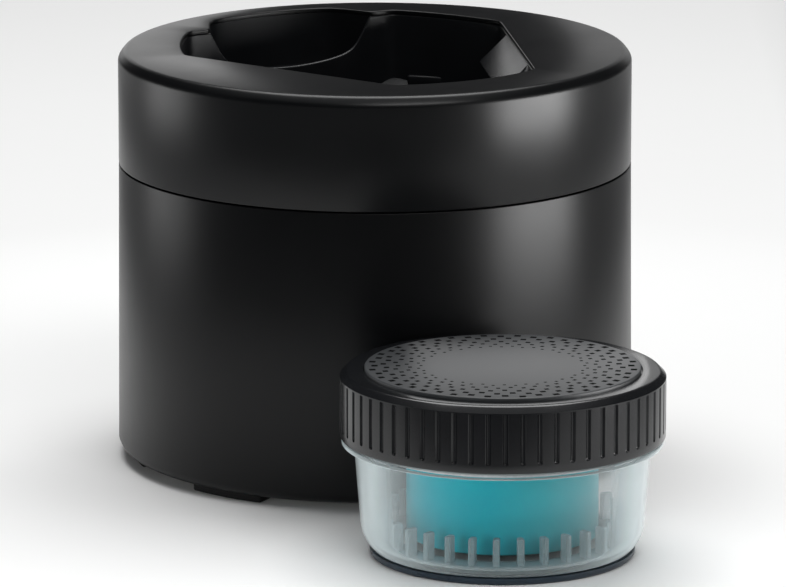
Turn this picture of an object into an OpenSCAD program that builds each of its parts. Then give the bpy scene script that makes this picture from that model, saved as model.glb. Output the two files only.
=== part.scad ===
// Shaver cleaning station: a round pod with a lift-off top, and its screw-capped fluid cartridge.
// Millimetres. The origin is on the pod's axis at the surface it stands on, +Z up, and the
// pod's front looks along -Y. The cartridge stands in front of the pod with its cap on.

/* [Pod] */
// Distance from the outside of the cartridge well to the outside of the pod
casing_w = 22; // [21.5:0.1:34]
// How much the base widens from the seam to the bottom
pod_draft = 0.5; // [0:0.1:1]
// Thickness of the outer walls
wall = 2.4; // [1.8:0.1:3]
// Height of the top above the seam
top_h = 27.5; // [24:0.5:36]
// Gap that shows as the dark seam line
seam_gap = 0.4; // [0.2:0.05:0.8]
// Width of the bevel round the top face
bevel_w = 1.6; // [0.8:0.1:2.5]
// Height of the bevel round the top face
bevel_h = 2.0; // [0.8:0.1:3]
// Radius of the round edge at the bottom
bottom_round = 2.5; // [1:0.1:4]

/* [Shaver pocket] */
// How far the round part of the pocket reaches past the well
pocket_w = 6.5; // [6.4:0.1:7.5]
// Distance of the two straight sides from the axis
side_d = 34.7; // [33:0.1:40]
// Angle that the straight sides are turned towards the front
side_a = 23.4; // [10:0.2:30]
// How far the notch reaches out behind the pocket
notch_w = 7.5; // [6:0.1:8]
// Half width of the notch where it leaves the pocket
notch_half = 23.3; // [18:0.1:25]
// How far the notch sides lean in, in degrees
notch_lean = 28; // [10:1:40]
// Depth of the notch floor below the top face
notch_depth = 13.8; // [12:0.1:14]
// Depth of the lip between the pocket and the notch, at its middle
lip_depth = 11.6; // [8:0.1:11.8]
// Half width of the lip at its bottom corners
lip_half = 17.5; // [12:0.5:19]
// How much the lip rises from its middle to those corners
lip_rise = 1.8; // [0.5:0.1:3]
// Thickness of the lip
lip_t = 1.2; // [1:0.1:1.6]
// Thickness of the pocket's wall
holder_wall = 1.8; // [1.2:0.1:2.4]
// Radius of each of the three openings for the shaving heads
head_r = 14.5; // [12:0.5:15]
// Distance of the head openings from the axis
head_d = 15.5; // [13:0.5:16]
// How far the side guides reach into the pocket
guide_in = 6.9; // [4:0.1:8]
// How far the side guides slope down
guide_drop = 7.0; // [5:0.1:9]
// Length of the straight part of a side guide
guide_len = 38; // [28:1:40]

/* [Base] */
// Height of the feet
foot_h = 2; // [1:0.1:3]
// Number of feet
foot_count = 8; // [4:1:8]
// Angle that each foot covers
foot_arc = 20; // [12:1:24]
// Radial width of a foot
foot_w = 5.6; // [3:0.1:5.6]
// Thickness of the bottom plate
plate_t = 2.4; // [2.2:0.1:3]
// Height of the dry bay between the bottom plate and the cartridge well
bay_h = 23.6; // [23.6:0.2:32]
// Thickness of the well's floor
well_floor_t = 2; // [1.6:0.1:3]
// Thickness of the well's wall
well_wall = 1.8; // [1.4:0.1:2.4]
// Thickness of the deck round the well
deck_t = 2; // [1.6:0.1:3]

/* [Release button and start pin] */
// Width of the release button
button_w = 16; // [12:0.5:18]
// Height of the release button
button_h = 9; // [7:0.5:11]
// Travel of the release button
button_travel = 2.5; // [1.5:0.1:2.5]
// Radius of the start pin
pin_r = 2.2; // [1.8:0.1:2.4]
// Travel of the start pin
pin_travel = 2; // [1:0.1:2]

/* [Drive] */
// Radius of the motor
motor_r = 12.2; // [10:0.1:12.2]
// Length of the motor
motor_h = 12.3; // [10:0.1:12.4]
// Radius of the motor shaft
shaft_r = 1; // [0.8:0.05:1.5]
// Radius of the magnet disc
drive_r = 20; // [18:0.5:22]
// Diameter of a battery cell
cell_d = 10.5; // [10.5:0.1:14.5]
// Length of a battery cell
cell_len = 44.5; // [44.5:0.5:50.5]

/* [Cartridge] */
// Outer radius of the cap
cap_r = 37.6; // [36.5:0.1:46]
// Height of the cap without its disc
cap_h = 15.6; // [15:0.1:19]
// Number of grip grooves round the cap
groove_count = 60; // [24:1:72]
// Length of a grip groove
groove_len = 11.9; // [6:0.1:12.4]
// Depth of a grip groove
groove_depth = 0.5; // [0.2:0.05:0.7]
// Radius of the raised disc on the cap
disc_r = 31.9; // [24:0.1:33]
// Height of the disc above the cap
disc_up = 0.75; // [0.3:0.05:1.5]
// Height of the bowl up to the underside of its flange
bowl_h = 26.2; // [25:0.1:34]
// Thickness of the flange
flange_t = 1.3; // [1:0.1:2]
// Height of the neck above the flange
neck_h = 13.5; // [13.2:0.1:16]
// Wall of the bowl
bowl_wall = 1.6; // [1.2:0.1:2]
// How much smaller the bowl is at its foot
bowl_taper = 1.7; // [1:0.1:4]
// Height of the dark ring under the bowl
ring_h = 1.6; // [1:0.1:3]
// Number of fins in the bottom of the bowl
fin_count = 32; // [12:1:40]
// Radius of the inner cup
cup_r = 23.7; // [20:0.1:25]
// Direction of the cartridge from the pod's axis
stand_angle = 256.9; // [200:0.1:340]
// Clear space between the cartridge and the pod
stand_gap = 1; // [0.5:0.1:60]

/* [Fasteners] */
// Radius of the screws that hold the casings
screw_r = 1.5; // [1.2:0.05:1.6]
// Radius of their heads
screw_head_r = 2.8; // [2.4:0.1:3]
// Height of their heads
screw_head_h = 1.3; // [1:0.1:1.4]

/* [Hidden] */
$fn = 96;
eps = 0.01;
far = 400;

// Heights of the base, from the surface up
base_z = foot_h;
plate_top = base_z + plate_t;
bay_top = plate_top + bay_h;
seat_z = bay_top + well_floor_t;
neck_top = bowl_h + flange_t + neck_h;
neck_stand = 1;
deck_z = seat_z + neck_top - neck_stand;
deck_under = deck_z - deck_t;
seal_h = 2.3;
seal_gap = 0.2;
seam_z = deck_z + neck_stand + 1.5;
pod_h = seam_z + top_h;

// Radii, from the cartridge outwards
well_gap = 1;
flange_r = cap_r - 0.4;
well_r = flange_r + well_gap;
well_out = well_r + well_wall;
pocket_r = well_out + pocket_w;
notch_r = pocket_r + notch_w;
pod_r = well_out + casing_w;
foot_r = pod_r + pod_draft;
inner_r = pod_r - wall;
fit_gap = 0.3;
skirt_gap = 0.4;
skirt_r = inner_r - skirt_gap;
skirt_w = 2.2;

// Heights of the top
top_plate_t = 2.4;
rim_t = 1;
rim_z = pod_h - rim_t - 0.1;
rebate_gap = 0.15;
holder_under = deck_z + neck_stand + seal_gap + seal_h;
floor_t = 2;
floor_z = holder_under + floor_t;
funnel_r = pocket_r - 4;
funnel_top = floor_z + pocket_r - funnel_r;
frame_z = floor_z + 4;
frame_t = 2;
frame_top = frame_z + frame_t;
ear_h = 2.5;
frame_in = pocket_r + holder_wall + fit_gap;
post_r = 3.2;
post_pos = skirt_r - skirt_w - post_r - 0.6;
post_angles = [45, 135, 252, 288];

// Start pin, in front of the shaving heads
pin_head_r = 3.2;
pin_y = -(pocket_r - pin_head_r - 0.4);
pin_boss_r = 4.2;
pin_boss_top = floor_z + 10.5;
pin_gap = 0.08;
pin_head_h = 2;
pin_head_z = pin_boss_top + pin_travel + 0.2;
pin_tip = deck_z - 4;
pin_spring_z = floor_z + 2.5;
pin_spring_bore = 3.15;
clip_h = 0.8;
clip_r = 3.4;

// Release button and its latch, at the back
button_z = deck_z - 14;
button_out = 0.3;
button_gap = 0.3;
button_flange = 2;
flange_y = inner_r - 1.2;
arm_w = 10;
arm_t = 1.8;
arm_y = pocket_r + holder_wall + button_travel + 0.5;
arm_top = deck_z + 5.5;
nose_out = 1.4;
nose_h = 2.2;
latch_gap = 0.3;
tooth_h = 1.6;
tooth_z = deck_z + 1.4;
guide_t = 2;
guide_gap = 0.4;
guide_back = well_out + 2.3;
guide_front = flange_y - button_flange - button_travel - 0.3;
guide_floor_z = button_z - 5;

// Fastener places
lug_h = 3;
lug_z = deck_under - 17;
lug_angles = [45, 135, 225, 315];
boss_r = 3.4;
boss_pos = inner_r - boss_r - 1.8;
bottom_pos = inner_r - boss_r + 0.2;
bottom_boss_h = 12;
hole_gap = 0.1;
pilot_gap = 0.03;

// Battery bay
cell_r = cell_d / 2;
cell_pitch = cell_d + 1;
door_t = 1.6;
cell_z = plate_top + cell_r - 0.6;
cell_y1 = -(motor_r + 2.55 + cell_r);
cell_y2 = cell_y1 - cell_pitch;
bay_x = cell_len / 2 + 2.25;
bay_y0 = cell_y2 - cell_r - 1.05;
bay_y1 = cell_y1 + cell_r + 1.15;
tray_t = 1;
tray_top = cell_z + cell_r + 0.3;
door_lip = 1.1;
door_gap = 0.3;
door_tab = 6;
door_screw_y = bay_y0 - 4.7;

// Drive stack, hung under the well's floor
disc_gap = 0.8;
drive_h = 3.4;
drive_z = bay_top - disc_gap - drive_h;
bracket_t = 1.5;
bracket_z = drive_z - 1.8 - bracket_t;
motor_z = bracket_z - motor_h;
bracket_post_r = 3;
bracket_post_pos = motor_r + 5.3;
bracket_r = bracket_post_pos + bracket_post_r + 0.5;
magnet_r = 3.5;
magnet_h = 2.6;
magnet_pos = drive_r - magnet_r - 2.5;

// Circuit board, standing in front of the well
board_w = 40;
board_t = 1.6;
board_h = 27;
board_y = -(well_out + 10);
board_top = deck_under - 2;
rail_w = 4;
rail_d = 4.4;
switch_top = pin_tip - pin_travel - 1.3;

// Cartridge
cap_gap = 0.3;
bowl_top_r = cap_r - 3.3;
bowl_foot_r = bowl_top_r - bowl_taper;
neck_r = cap_r - 4.1;
neck_in = neck_r - bowl_wall;
cap_z = bowl_h + flange_t + cap_gap;
cap_top = cap_z + cap_h;
cap_in = cap_r - 1.9;
bowl_floor = ring_h + bowl_wall;
cup_wall = 1.3;
cup_z = bowl_floor + 0.05;
cup_h = bowl_h - 0.7 - cup_z;
cup_floor = 1.3;
filter_z = cup_z + cup_h;
filter_t = 1.6;
tray_z = filter_z + filter_t;
tray_floor = bowl_h + flange_t + 5.2;
tray_plate = 2;
pump_r = 12;
pump_z = cup_z + cup_floor;
pump_h = 10.6;
riser_r = 3.2;
riser_in = 2.2;
spindle_r = 1;
impeller_gap = 0.06;
fluid_top = bowl_h - 1.2;
thread_out = 1.5;
thread_h = 1.5;
thread_starts = 3;
thread_step = 8;
thread_steps = 12;
cap_turn = 100;
cap_rise = 4;
rise_per_degree = cap_rise / cap_turn;
lug_arc = 14;
cap_lug_h = 1.6;
cap_lug_z = cap_z + 2.9;
thread_z = cap_lug_z + cap_lug_h + 0.4;
seal_z = neck_top + 0.05;
cap_seal_t = 1.15;
cap_ceiling = seal_z + cap_seal_t + 0.15;
disc_sink = 0.5;
stand_d = foot_r + cap_r + stand_gap;
stand_x = stand_d * cos(stand_angle);
stand_y = stand_d * sin(stand_angle);

// ---- shared shapes ----

function unit(v) = v / norm(v);

// Points of the arc of radius r that rounds the corner b between a and c
function fillet(a, b, c, r, steps = 6) =
    let (u = unit(a - b), v = unit(c - b), half = acos(u * v) / 2,
         centre = b + unit(u + v) * r / sin(half),
         from = b + u * r / tan(half) - centre,
         to = b + v * r / tan(half) - centre,
         turn = sign(cross(from, to)) * (180 - 2 * half))
    [for (i = [0:steps])
        let (t = turn * i / steps)
        centre + [from.x * cos(t) - from.y * sin(t), from.x * sin(t) + from.y * cos(t)]];

module at_cartridge() {
    translate([stand_x, stand_y, 0]) children();
}

module ring(r_out, r_in, z0, z1) {
    translate([0, 0, z0])
        difference() {
            cylinder(r = r_out, h = z1 - z0);
            translate([0, 0, -1]) cylinder(r = r_in, h = z1 - z0 + 2);
        }
}

// A block from one corner to the other
module block(low, high) {
    translate(low) cube(high - low);
}

// Part of a ring, from angle a0 over the angle da
module ring_arc(r_out, r_in, z0, z1, a0, da) {
    rotate([0, 0, a0])
        rotate_extrude(angle = da)
            translate([r_in, z0]) square([r_out - r_in, z1 - z0]);
}

module around(angles, r) {
    for (a = angles) rotate([0, 0, a]) translate([r, 0, 0]) children();
}

// A pan head screw whose shaft points up from its head
module screw_up(z_head, head_r, head_h, r, length) {
    translate([0, 0, z_head]) cylinder(r = head_r, h = head_h);
    translate([0, 0, z_head + head_h - eps]) cylinder(r = r, h = length);
}

// The pocket's plan: a circle cut by two straight sides, grown all round by g
module pocket_prism(g, z0, z1) {
    intersection() {
        translate([0, 0, z0]) cylinder(r = pocket_r + g, h = z1 - z0);
        rotate([0, 0, -side_a]) block([-far, -far, z0 - 1], [side_d + g, far, z1 + 1]);
        rotate([0, 0, side_a]) block([-side_d - g, -far, z0 - 1], [far, far, z1 + 1]);
    }
}

// The notch's plan: a trapezoid that ends in an arc, grown all round by g
module notch_prism(g, z0, z1) {
    y_pocket = sqrt(pow(pocket_r, 2) - pow(notch_half, 2));
    y_in = y_pocket - 8;
    y_out = notch_r + 10;
    grow = g / cos(notch_lean);
    x_in = notch_half + (y_pocket - y_in) * tan(notch_lean) + grow;
    x_out = notch_half - (y_out - y_pocket) * tan(notch_lean) + grow;
    intersection() {
        translate([0, 0, z0]) cylinder(r = notch_r + g, h = z1 - z0);
        translate([0, 0, z0 - 1])
            linear_extrude(height = z1 - z0 + 2)
                polygon([[-x_in, y_in], [x_in, y_in], [x_out, y_out], [-x_out, y_out]]);
    }
}

// A round-ended bar along Y, as wide and tall as the release button, grown by g
module button_bar(g, y0, y1) {
    r = button_h / 2;
    for (side = [-1, 1])
        translate([side * (button_w / 2 - r), y0, button_z])
            rotate([-90, 0, 0]) cylinder(r = r + g, h = y1 - y0);
    block([-(button_w / 2 - r), y0, button_z - r - g], [button_w / 2 - r, y1, button_z + r + g]);
}

// A coil spring along +Z: one tube swept along a helix
module coil_spring(r, wire, turns, length) {
    steps = 16;
    sides = 6;
    count = turns * steps;
    function section(i) =
        let (a = 360 * i / steps, z = wire + (length - 2 * wire) * i / count)
        [for (k = [0:sides - 1])
            let (t = 360 * k / sides, d = r + wire * cos(t))
            [d * cos(a), d * sin(a), z + wire * sin(t)]];
    points = [for (i = [0:count]) each section(i)];
    side_faces = [for (i = [0:count - 1]) for (k = [0:sides - 1])
        let (a = i * sides + k, b = i * sides + (k + 1) % sides)
        each [[a, a + sides, b], [b, a + sides, b + sides]]];
    first_end = [for (k = [0:sides - 1]) k];
    last_end = [for (k = [sides - 1:-1:0]) count * sides + k];
    polyhedron(points = points, faces = concat(side_faces, [first_end, last_end]));
}

// ---- base ----

module base_shell() {
    rim = seam_z - seam_gap / 2;
    color([0.045, 0.048, 0.052])
    difference() {
        union() {
            rotate_extrude() {
                polygon([[inner_r, base_z], [foot_r - bottom_round, base_z],
                         [foot_r, base_z + bottom_round], [pod_r, rim], [inner_r, rim]]);
                intersection() {
                    translate([foot_r - bottom_round, base_z + bottom_round])
                        circle(r = bottom_round);
                    translate([inner_r, base_z]) square([foot_r - inner_r, bottom_round]);
                }
            }
            // Lugs that carry the well, and bosses for the bottom screws
            intersection() {
                around(lug_angles, boss_pos)
                    block([-boss_r, -boss_r, lug_z], [wall + boss_r + 2, boss_r, lug_z + lug_h]);
                translate([0, 0, lug_z - 1]) cylinder(r = inner_r + 0.5, h = lug_h + 2);
            }
            around([0, 90, 180, 270], bottom_pos)
                translate([0, 0, plate_top]) cylinder(r = boss_r, h = bottom_boss_h);
        }
        around(lug_angles, boss_pos)
            translate([0, 0, lug_z - 1]) cylinder(r = screw_r + hole_gap, h = lug_h + 2);
        around([0, 90, 180, 270], bottom_pos)
            translate([0, 0, plate_top - 1]) cylinder(r = screw_r + pilot_gap, h = bottom_boss_h - 1);
        button_bar(button_gap, inner_r - 4, foot_r + 3);
    }
}

module well_liner() {
    color([0.07, 0.075, 0.08])
    difference() {
        union() {
            translate([0, 0, bay_top]) cylinder(r = well_out, h = well_floor_t);
            ring(well_out, well_r, bay_top, deck_z);
            ring(inner_r - fit_gap, well_r, deck_under, deck_z);
            around(lug_angles, boss_pos)
                translate([0, 0, lug_z + lug_h])
                    cylinder(r = boss_r, h = deck_under - lug_z - lug_h + eps);
            board_rails();
        }
        around(lug_angles, boss_pos)
            translate([0, 0, lug_z + lug_h - 1]) cylinder(r = screw_r + pilot_gap, h = 10);
        translate([0, pin_y, deck_under - 1]) cylinder(r = pin_r + 0.6, h = deck_t + 2);
        block([-arm_w / 2 - 0.8, arm_y - button_travel - 0.6, deck_under - 1],
              [arm_w / 2 + 0.8, arm_y + arm_t + nose_out + 0.6, deck_z + 1]);
    }
}

module board_rails() {
    slot = board_t + 0.3;
    for (side = [-1, 1])
        difference() {
            translate([side * (board_w / 2 + 0.3), board_y, 0])
                block([-rail_w / 2, -rail_d / 2, board_top - board_h],
                      [rail_w / 2, rail_d / 2, deck_under + eps]);
            translate([side * (board_w / 2 - 0.85), board_y, 0])
                block([-1, -slot / 2, board_top - board_h - 1], [1, slot / 2, board_top + 0.2]);
        }
}

module liner_screws() {
    color("silver")
        around(lug_angles, boss_pos)
            screw_up(lug_z - screw_head_h, screw_head_r, screw_head_h, screw_r, 10);
}

module bottom_plate() {
    plate_r = inner_r - fit_gap;
    color([0.06, 0.063, 0.067])
    difference() {
        union() {
            translate([0, 0, base_z]) cylinder(r = plate_r, h = plate_t);
            translate([0, door_screw_y, plate_top - eps]) cylinder(r = post_r, h = 6);
        }
        // Battery opening, with a ledge for the door
        block([-bay_x, bay_y0, base_z - 1], [bay_x, bay_y1, plate_top + 1]);
        door_outline(door_gap, base_z - 1, base_z + door_t + 0.05);
        translate([0, door_screw_y, base_z]) cylinder(r = screw_r + pilot_gap, h = plate_t + 4);
        // Screw holes with sunk heads
        around([0, 90, 180, 270], bottom_pos) sunk_hole();
        around([90, 210, 330], bracket_post_pos) sunk_hole();
        // Shallow beds that the feet are stuck in
        for (i = [0:foot_count - 1])
            rotate([0, 0, foot_angle(i)])
                ring_arc(foot_out + 0.1, foot_out - foot_w - 0.1, base_z - 1, base_z + foot_sink,
                         -foot_arc / 2 - 0.1, foot_arc + 0.2);
    }
}

foot_out = inner_r - 0.6;
foot_sink = 0.8;
function foot_angle(i) = -90 + 360 / foot_count * (i + 0.5);

module sunk_hole() {
    translate([0, 0, base_z - 1]) cylinder(r = screw_r + hole_gap, h = plate_t + 2);
    translate([0, 0, base_z - 1]) cylinder(r = screw_head_r + 0.2, h = screw_head_h + 1.15);
}

module door_outline(g, z0, z1) {
    block([-bay_x - door_lip - g, bay_y0 - door_lip - g, z0],
          [bay_x + door_lip + g, bay_y1 + door_lip + g, z1]);
    block([-door_tab - g, door_screw_y - 3.2 - g, z0], [door_tab + g, bay_y0, z1]);
}

module bottom_screws() {
    color("silver")
        around([0, 90, 180, 270], bottom_pos)
            screw_up(base_z + 0.15, screw_head_r, screw_head_h, screw_r, 9);
}

module rubber_feet() {
    color([0.03, 0.03, 0.032])
        for (i = [0:foot_count - 1])
            rotate([0, 0, foot_angle(i)])
                ring_arc(foot_out, foot_out - foot_w, 0, base_z + foot_sink,
                         -foot_arc / 2, foot_arc);
}

module battery_door() {
    color([0.06, 0.063, 0.067])
    difference() {
        door_outline(0, base_z + 0.05, base_z + door_t);
        translate([0, door_screw_y, base_z - 1]) cylinder(r = screw_r + hole_gap, h = door_t + 2);
        translate([0, door_screw_y, base_z - 1]) cylinder(r = 2.6, h = 1.9);
    }
}

module door_screw() {
    color("silver")
        translate([0, door_screw_y, 0]) screw_up(base_z + 0.05, 2.4, 0.85, screw_r, 4.2);
}

module battery_tray() {
    color([0.1, 0.1, 0.11])
    difference() {
        block([-bay_x - tray_t, bay_y0 - tray_t, plate_top],
              [bay_x + tray_t, bay_y1 + tray_t, tray_top + tray_t]);
        block([-bay_x, bay_y0, plate_top - 1], [bay_x, bay_y1, tray_top]);
    }
}

module battery_cells() {
    tip = 1;
    color([0.62, 0.63, 0.65])
        for (row = [0, 1])
            translate([0, row == 0 ? cell_y1 : cell_y2, cell_z])
                rotate([0, 0, row * 180])
                    rotate([0, 90, 0]) {
                        translate([0, 0, -cell_len / 2]) cylinder(r = cell_r, h = cell_len - tip);
                        translate([0, 0, cell_len / 2 - tip - eps]) cylinder(r = 2.7, h = tip);
                    }
}

module battery_contacts() {
    color("gold")
        for (row = [0, 1])
            translate([0, row == 0 ? cell_y1 : cell_y2, cell_z])
                rotate([0, 0, row * 180]) {
                    block([bay_x - 0.5, -4, -4], [bay_x - 0.1, 4, 4]);
                    block([-bay_x + 0.1, -4, -4], [-bay_x + 0.5, 4, 4]);
                    translate([-bay_x + 0.45, 0, 0]) rotate([0, 90, 0]) cylinder(r = 3, h = 1.6);
                    translate([bay_x - 1.8, 0, 0]) rotate([0, 90, 0]) cylinder(r = 2, h = 1.4);
                }
}

module motor() {
    color([0.7, 0.71, 0.73])
    difference() {
        translate([0, 0, motor_z]) cylinder(r = motor_r, h = motor_h);
        translate([0, 0, motor_z + 4]) cylinder(r = shaft_r + 0.05, h = motor_h);
        around([0, 180], 8) translate([0, 0, bracket_z - 3]) cylinder(r = 0.98, h = 4);
    }
}

module motor_bracket() {
    color([0.12, 0.12, 0.13])
    difference() {
        union() {
            translate([0, 0, bracket_z]) cylinder(r = bracket_r, h = bracket_t);
            around([90, 210, 330], bracket_post_pos)
                translate([0, 0, plate_top])
                    cylinder(r = bracket_post_r, h = bracket_z - plate_top + eps);
        }
        translate([0, 0, bracket_z - 1]) cylinder(r = 3.2, h = bracket_t + 2);
        around([0, 180], 8) translate([0, 0, bracket_z - 1]) cylinder(r = 1.05, h = bracket_t + 2);
        around([90, 210, 330], bracket_post_pos)
            translate([0, 0, plate_top - 1]) cylinder(r = screw_r + pilot_gap, h = 9);
    }
}

module motor_screws() {
    top = bracket_z + bracket_t;
    color("silver")
        around([0, 180], 8) {
            translate([0, 0, top]) cylinder(r = 1.9, h = 1.2);
            translate([0, 0, top - 4]) cylinder(r = 0.95, h = 4 + eps);
        }
}

module bracket_screws() {
    color("silver")
        around([90, 210, 330], bracket_post_pos)
            screw_up(base_z + 0.15, screw_head_r, screw_head_h, screw_r, 8);
}

module circuit_board() {
    color([0.05, 0.3, 0.16])
        translate([0, board_y, 0])
            block([-board_w / 2, -board_t / 2, board_top - board_h],
                  [board_w / 2, board_t / 2, board_top]);
}

module board_parts() {
    back = board_y + board_t / 2;
    color([0.15, 0.15, 0.16]) {
        block([-15, back, board_top - 22], [-9, back + 1.6, board_top - 16]);
        block([8, back, board_top - 24], [16, back + 4, board_top - 19]);
        block([-3, back, board_top - 25], [4, back + 4, board_top - 20]);
        translate([12, back, board_top - 12]) rotate([-90, 0, 0]) cylinder(r = 2.5, h = 5);
    }
}

module micro_switch() {
    back = board_y + board_t / 2;
    color([0.12, 0.12, 0.13]) {
        block([-6.4, back, switch_top - 6.5], [6.4, pin_y + 1.5, switch_top]);
        translate([0, pin_y, switch_top - eps]) cylinder(r = 1.3, h = 1);
    }
}

module latch_guide() {
    x_in = arm_w / 2 + guide_gap;
    x_out = x_in + guide_t;
    color([0.12, 0.12, 0.13]) {
        for (side = [-1, 1])
            translate([side * (x_in + x_out) / 2, 0, 0])
                block([-guide_t / 2, guide_back, guide_floor_z], [guide_t / 2, guide_front, deck_under]);
        block([-x_out, guide_back, guide_floor_z - 1.5], [x_out, guide_front, guide_floor_z + eps]);
        block([-x_out, guide_back, guide_floor_z], [x_out, guide_back + 1.7, guide_floor_z + 12]);
    }
}

module latch_spring() {
    y0 = guide_back + 1.7;
    color("silver")
        translate([0, y0, button_z])
            rotate([-90, 0, 0]) coil_spring(2.6, 0.35, 5, arm_y - y0);
}

// ---- drive ----

module motor_shaft() {
    color("silver")
        translate([0, 0, motor_z + 4.2]) cylinder(r = shaft_r, h = drive_z + drive_h - motor_z - 4.9);
}

module drive_disc() {
    color([0.2, 0.2, 0.21])
    difference() {
        union() {
            translate([0, 0, drive_z]) cylinder(r = drive_r, h = drive_h);
            translate([0, 0, drive_z - 1.2]) cylinder(r = 2.6, h = 1.2 + eps);
        }
        translate([0, 0, drive_z - 2]) cylinder(r = shaft_r, h = drive_h + 3);
        around([0, 90, 180, 270], magnet_pos)
            translate([0, 0, drive_z + drive_h - magnet_h]) cylinder(r = magnet_r, h = magnet_h + 1);
    }
}

module drive_magnets() {
    color([0.55, 0.56, 0.58])
        around([0, 90, 180, 270], magnet_pos)
            translate([0, 0, drive_z + drive_h - magnet_h]) cylinder(r = magnet_r, h = magnet_h);
}

// ---- top ----

module top_cover() {
    low = seam_z + seam_gap / 2;
    under = pod_h - top_plate_t;
    color([0.05, 0.053, 0.057])
    difference() {
        union() {
            difference() {
                rotate_extrude()
                    polygon([[0, low], [pod_r, low], [pod_r, pod_h - bevel_h],
                             [pod_r - bevel_w, pod_h], [0, pod_h]]);
                translate([0, 0, low - 1]) cylinder(r = inner_r, h = under - low + 1);
            }
            around(post_angles, post_pos)
                translate([0, 0, frame_top + ear_h])
                    cylinder(r = post_r, h = under - frame_top - ear_h + eps);
        }
        pocket_prism(0, under - 1, pod_h + 1);
        notch_prism(0, under - 1, pod_h + 1);
        pocket_prism(holder_wall + rebate_gap, under - 1, pod_h - rim_t);
        notch_prism(holder_wall + rebate_gap, under - 1, pod_h - rim_t);
        around(post_angles, post_pos)
            translate([0, 0, frame_top + ear_h - 1]) cylinder(r = screw_r + pilot_gap, h = 10);
    }
}

// The hollow of the pocket, with a funnel down to its floor
module pocket_hollow() {
    intersection() {
        pocket_prism(0, floor_z, rim_z + 1);
        rotate_extrude()
            polygon([[0, floor_z], [funnel_r, floor_z], [pocket_r + 1, funnel_top + 1],
                     [pocket_r + 1, rim_z + 1], [0, rim_z + 1]]);
    }
}

// The U-shaped way from the pocket over the lip into the notch
module lip_cut() {
    corner_r = 9;
    middle_r = 60;
    bow = middle_r * (1 / cos(atan(lip_rise / lip_half)) - 1);
    low = pod_h - lip_depth - bow;
    top_half = notch_half - 0.3;
    corners = [[top_half, pod_h], [lip_half, low + lip_rise], [0, low],
               [-lip_half, low + lip_rise], [-top_half, pod_h]];
    outline = concat([[top_half, pod_h + 2]],
                     fillet(corners[0], corners[1], corners[2], corner_r),
                     fillet(corners[1], corners[2], corners[3], middle_r),
                     fillet(corners[2], corners[3], corners[4], corner_r),
                     [[-top_half, pod_h + 2]]);
    intersection() {
        translate([0, notch_r, 0])
            rotate([90, 0, 0]) linear_extrude(height = notch_r - 20) polygon(outline);
        translate([0, 0, low - 1]) cylinder(r = pocket_r + lip_t + 0.4, h = far);
    }
}

module shaver_holder() {
    notch_floor = pod_h - notch_depth;
    color([0.055, 0.058, 0.063])
    difference() {
        union() {
            difference() {
                union() {
                    pocket_prism(holder_wall, holder_under, rim_z);
                    notch_prism(holder_wall, notch_floor - holder_wall, rim_z);
                }
                pocket_hollow();
                difference() {
                    notch_prism(0, notch_floor, rim_z + 1);
                    translate([0, 0, notch_floor - 1])
                        cylinder(r = pocket_r + lip_t, h = notch_depth + 2);
                }
                lip_cut();
            }
            // Guide boss for the start pin
            translate([0, pin_y, holder_under])
                cylinder(r = pin_boss_r, h = pin_boss_top - holder_under);
            // Ears that the screws clamp
            intersection() {
                around(post_angles, post_pos)
                    block([pocket_r - post_pos, -4.5, frame_top],
                          [post_r + 0.3, 4.5, frame_top + ear_h]);
                ring(skirt_r - 1, pocket_r + 0.6, frame_top - 1, frame_top + ear_h + 1);
            }
        }
        around([30, 150, 270], head_d)
            translate([0, 0, holder_under - 1]) cylinder(r = head_r, h = floor_t + 2);
        translate([0, 0, holder_under - 1]) cylinder(r = head_d - head_r + 3, h = floor_t + 2);
        translate([0, pin_y, holder_under - 1]) cylinder(r = pin_r + pin_gap, h = far);
        translate([0, pin_y, pin_spring_z]) cylinder(r = pin_spring_bore, h = far);
        translate([0, pin_y, pin_boss_top]) cylinder(r = pin_head_r + 0.35, h = far);
        around(post_angles, post_pos)
            translate([0, 0, frame_top - 1]) cylinder(r = screw_r + hole_gap, h = ear_h + 2);
        for (side = [-1, 1]) mirror([side < 0 ? 1 : 0, 0, 0]) guide_pegs(0.05);
    }
}

guide_peg_r = 1.3;

module guide_pegs(g) {
    rotate([0, 0, -side_a])
        for (t = [-1, 1])
            translate([side_d - eps, t * guide_len / 4, rim_z - 3.5])
                rotate([0, 90, 0]) cylinder(r = guide_peg_r + g, h = holder_wall - 0.1);
}

// Ramps on the straight sides that lead the shaver in, with rounded ends
module side_guides() {
    section = [[0, rim_z], [0, rim_z - guide_drop - 4], [guide_in - 0.6, rim_z - guide_drop - 0.8],
               [guide_in, rim_z - guide_drop]];
    color([0.06, 0.064, 0.07])
        for (side = [-1, 1])
            mirror([side < 0 ? 1 : 0, 0, 0]) {
                rotate([0, 0, -side_a])
                    translate([side_d, 0, 0]) {
                        rotate([90, 0, 180])
                            translate([0, 0, -guide_len / 2])
                                linear_extrude(height = guide_len) polygon(section);
                        for (t = [-1, 1])
                            translate([0, t * guide_len / 2, 0])
                                rotate([0, 0, t > 0 ? 90 : 180])
                                    rotate_extrude(angle = 90) polygon(section);
                    }
                guide_pegs(0);
            }
}

module inner_frame() {
    color([0.08, 0.085, 0.09])
    difference() {
        union() {
            ring(skirt_r, frame_in, frame_z, frame_top);
            ring(skirt_r, skirt_r - skirt_w, deck_z, frame_top);
        }
        around(post_angles, post_pos)
            translate([0, 0, frame_z - 1]) cylinder(r = screw_r + hole_gap, h = frame_t + 2);
        catch_pegs(0.05);
    }
}

module holder_screws() {
    color("silver")
        around(post_angles, post_pos)
            screw_up(frame_z - screw_head_h, screw_head_r, screw_head_h, screw_r, 12);
}

catch_half = 5.5;

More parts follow.
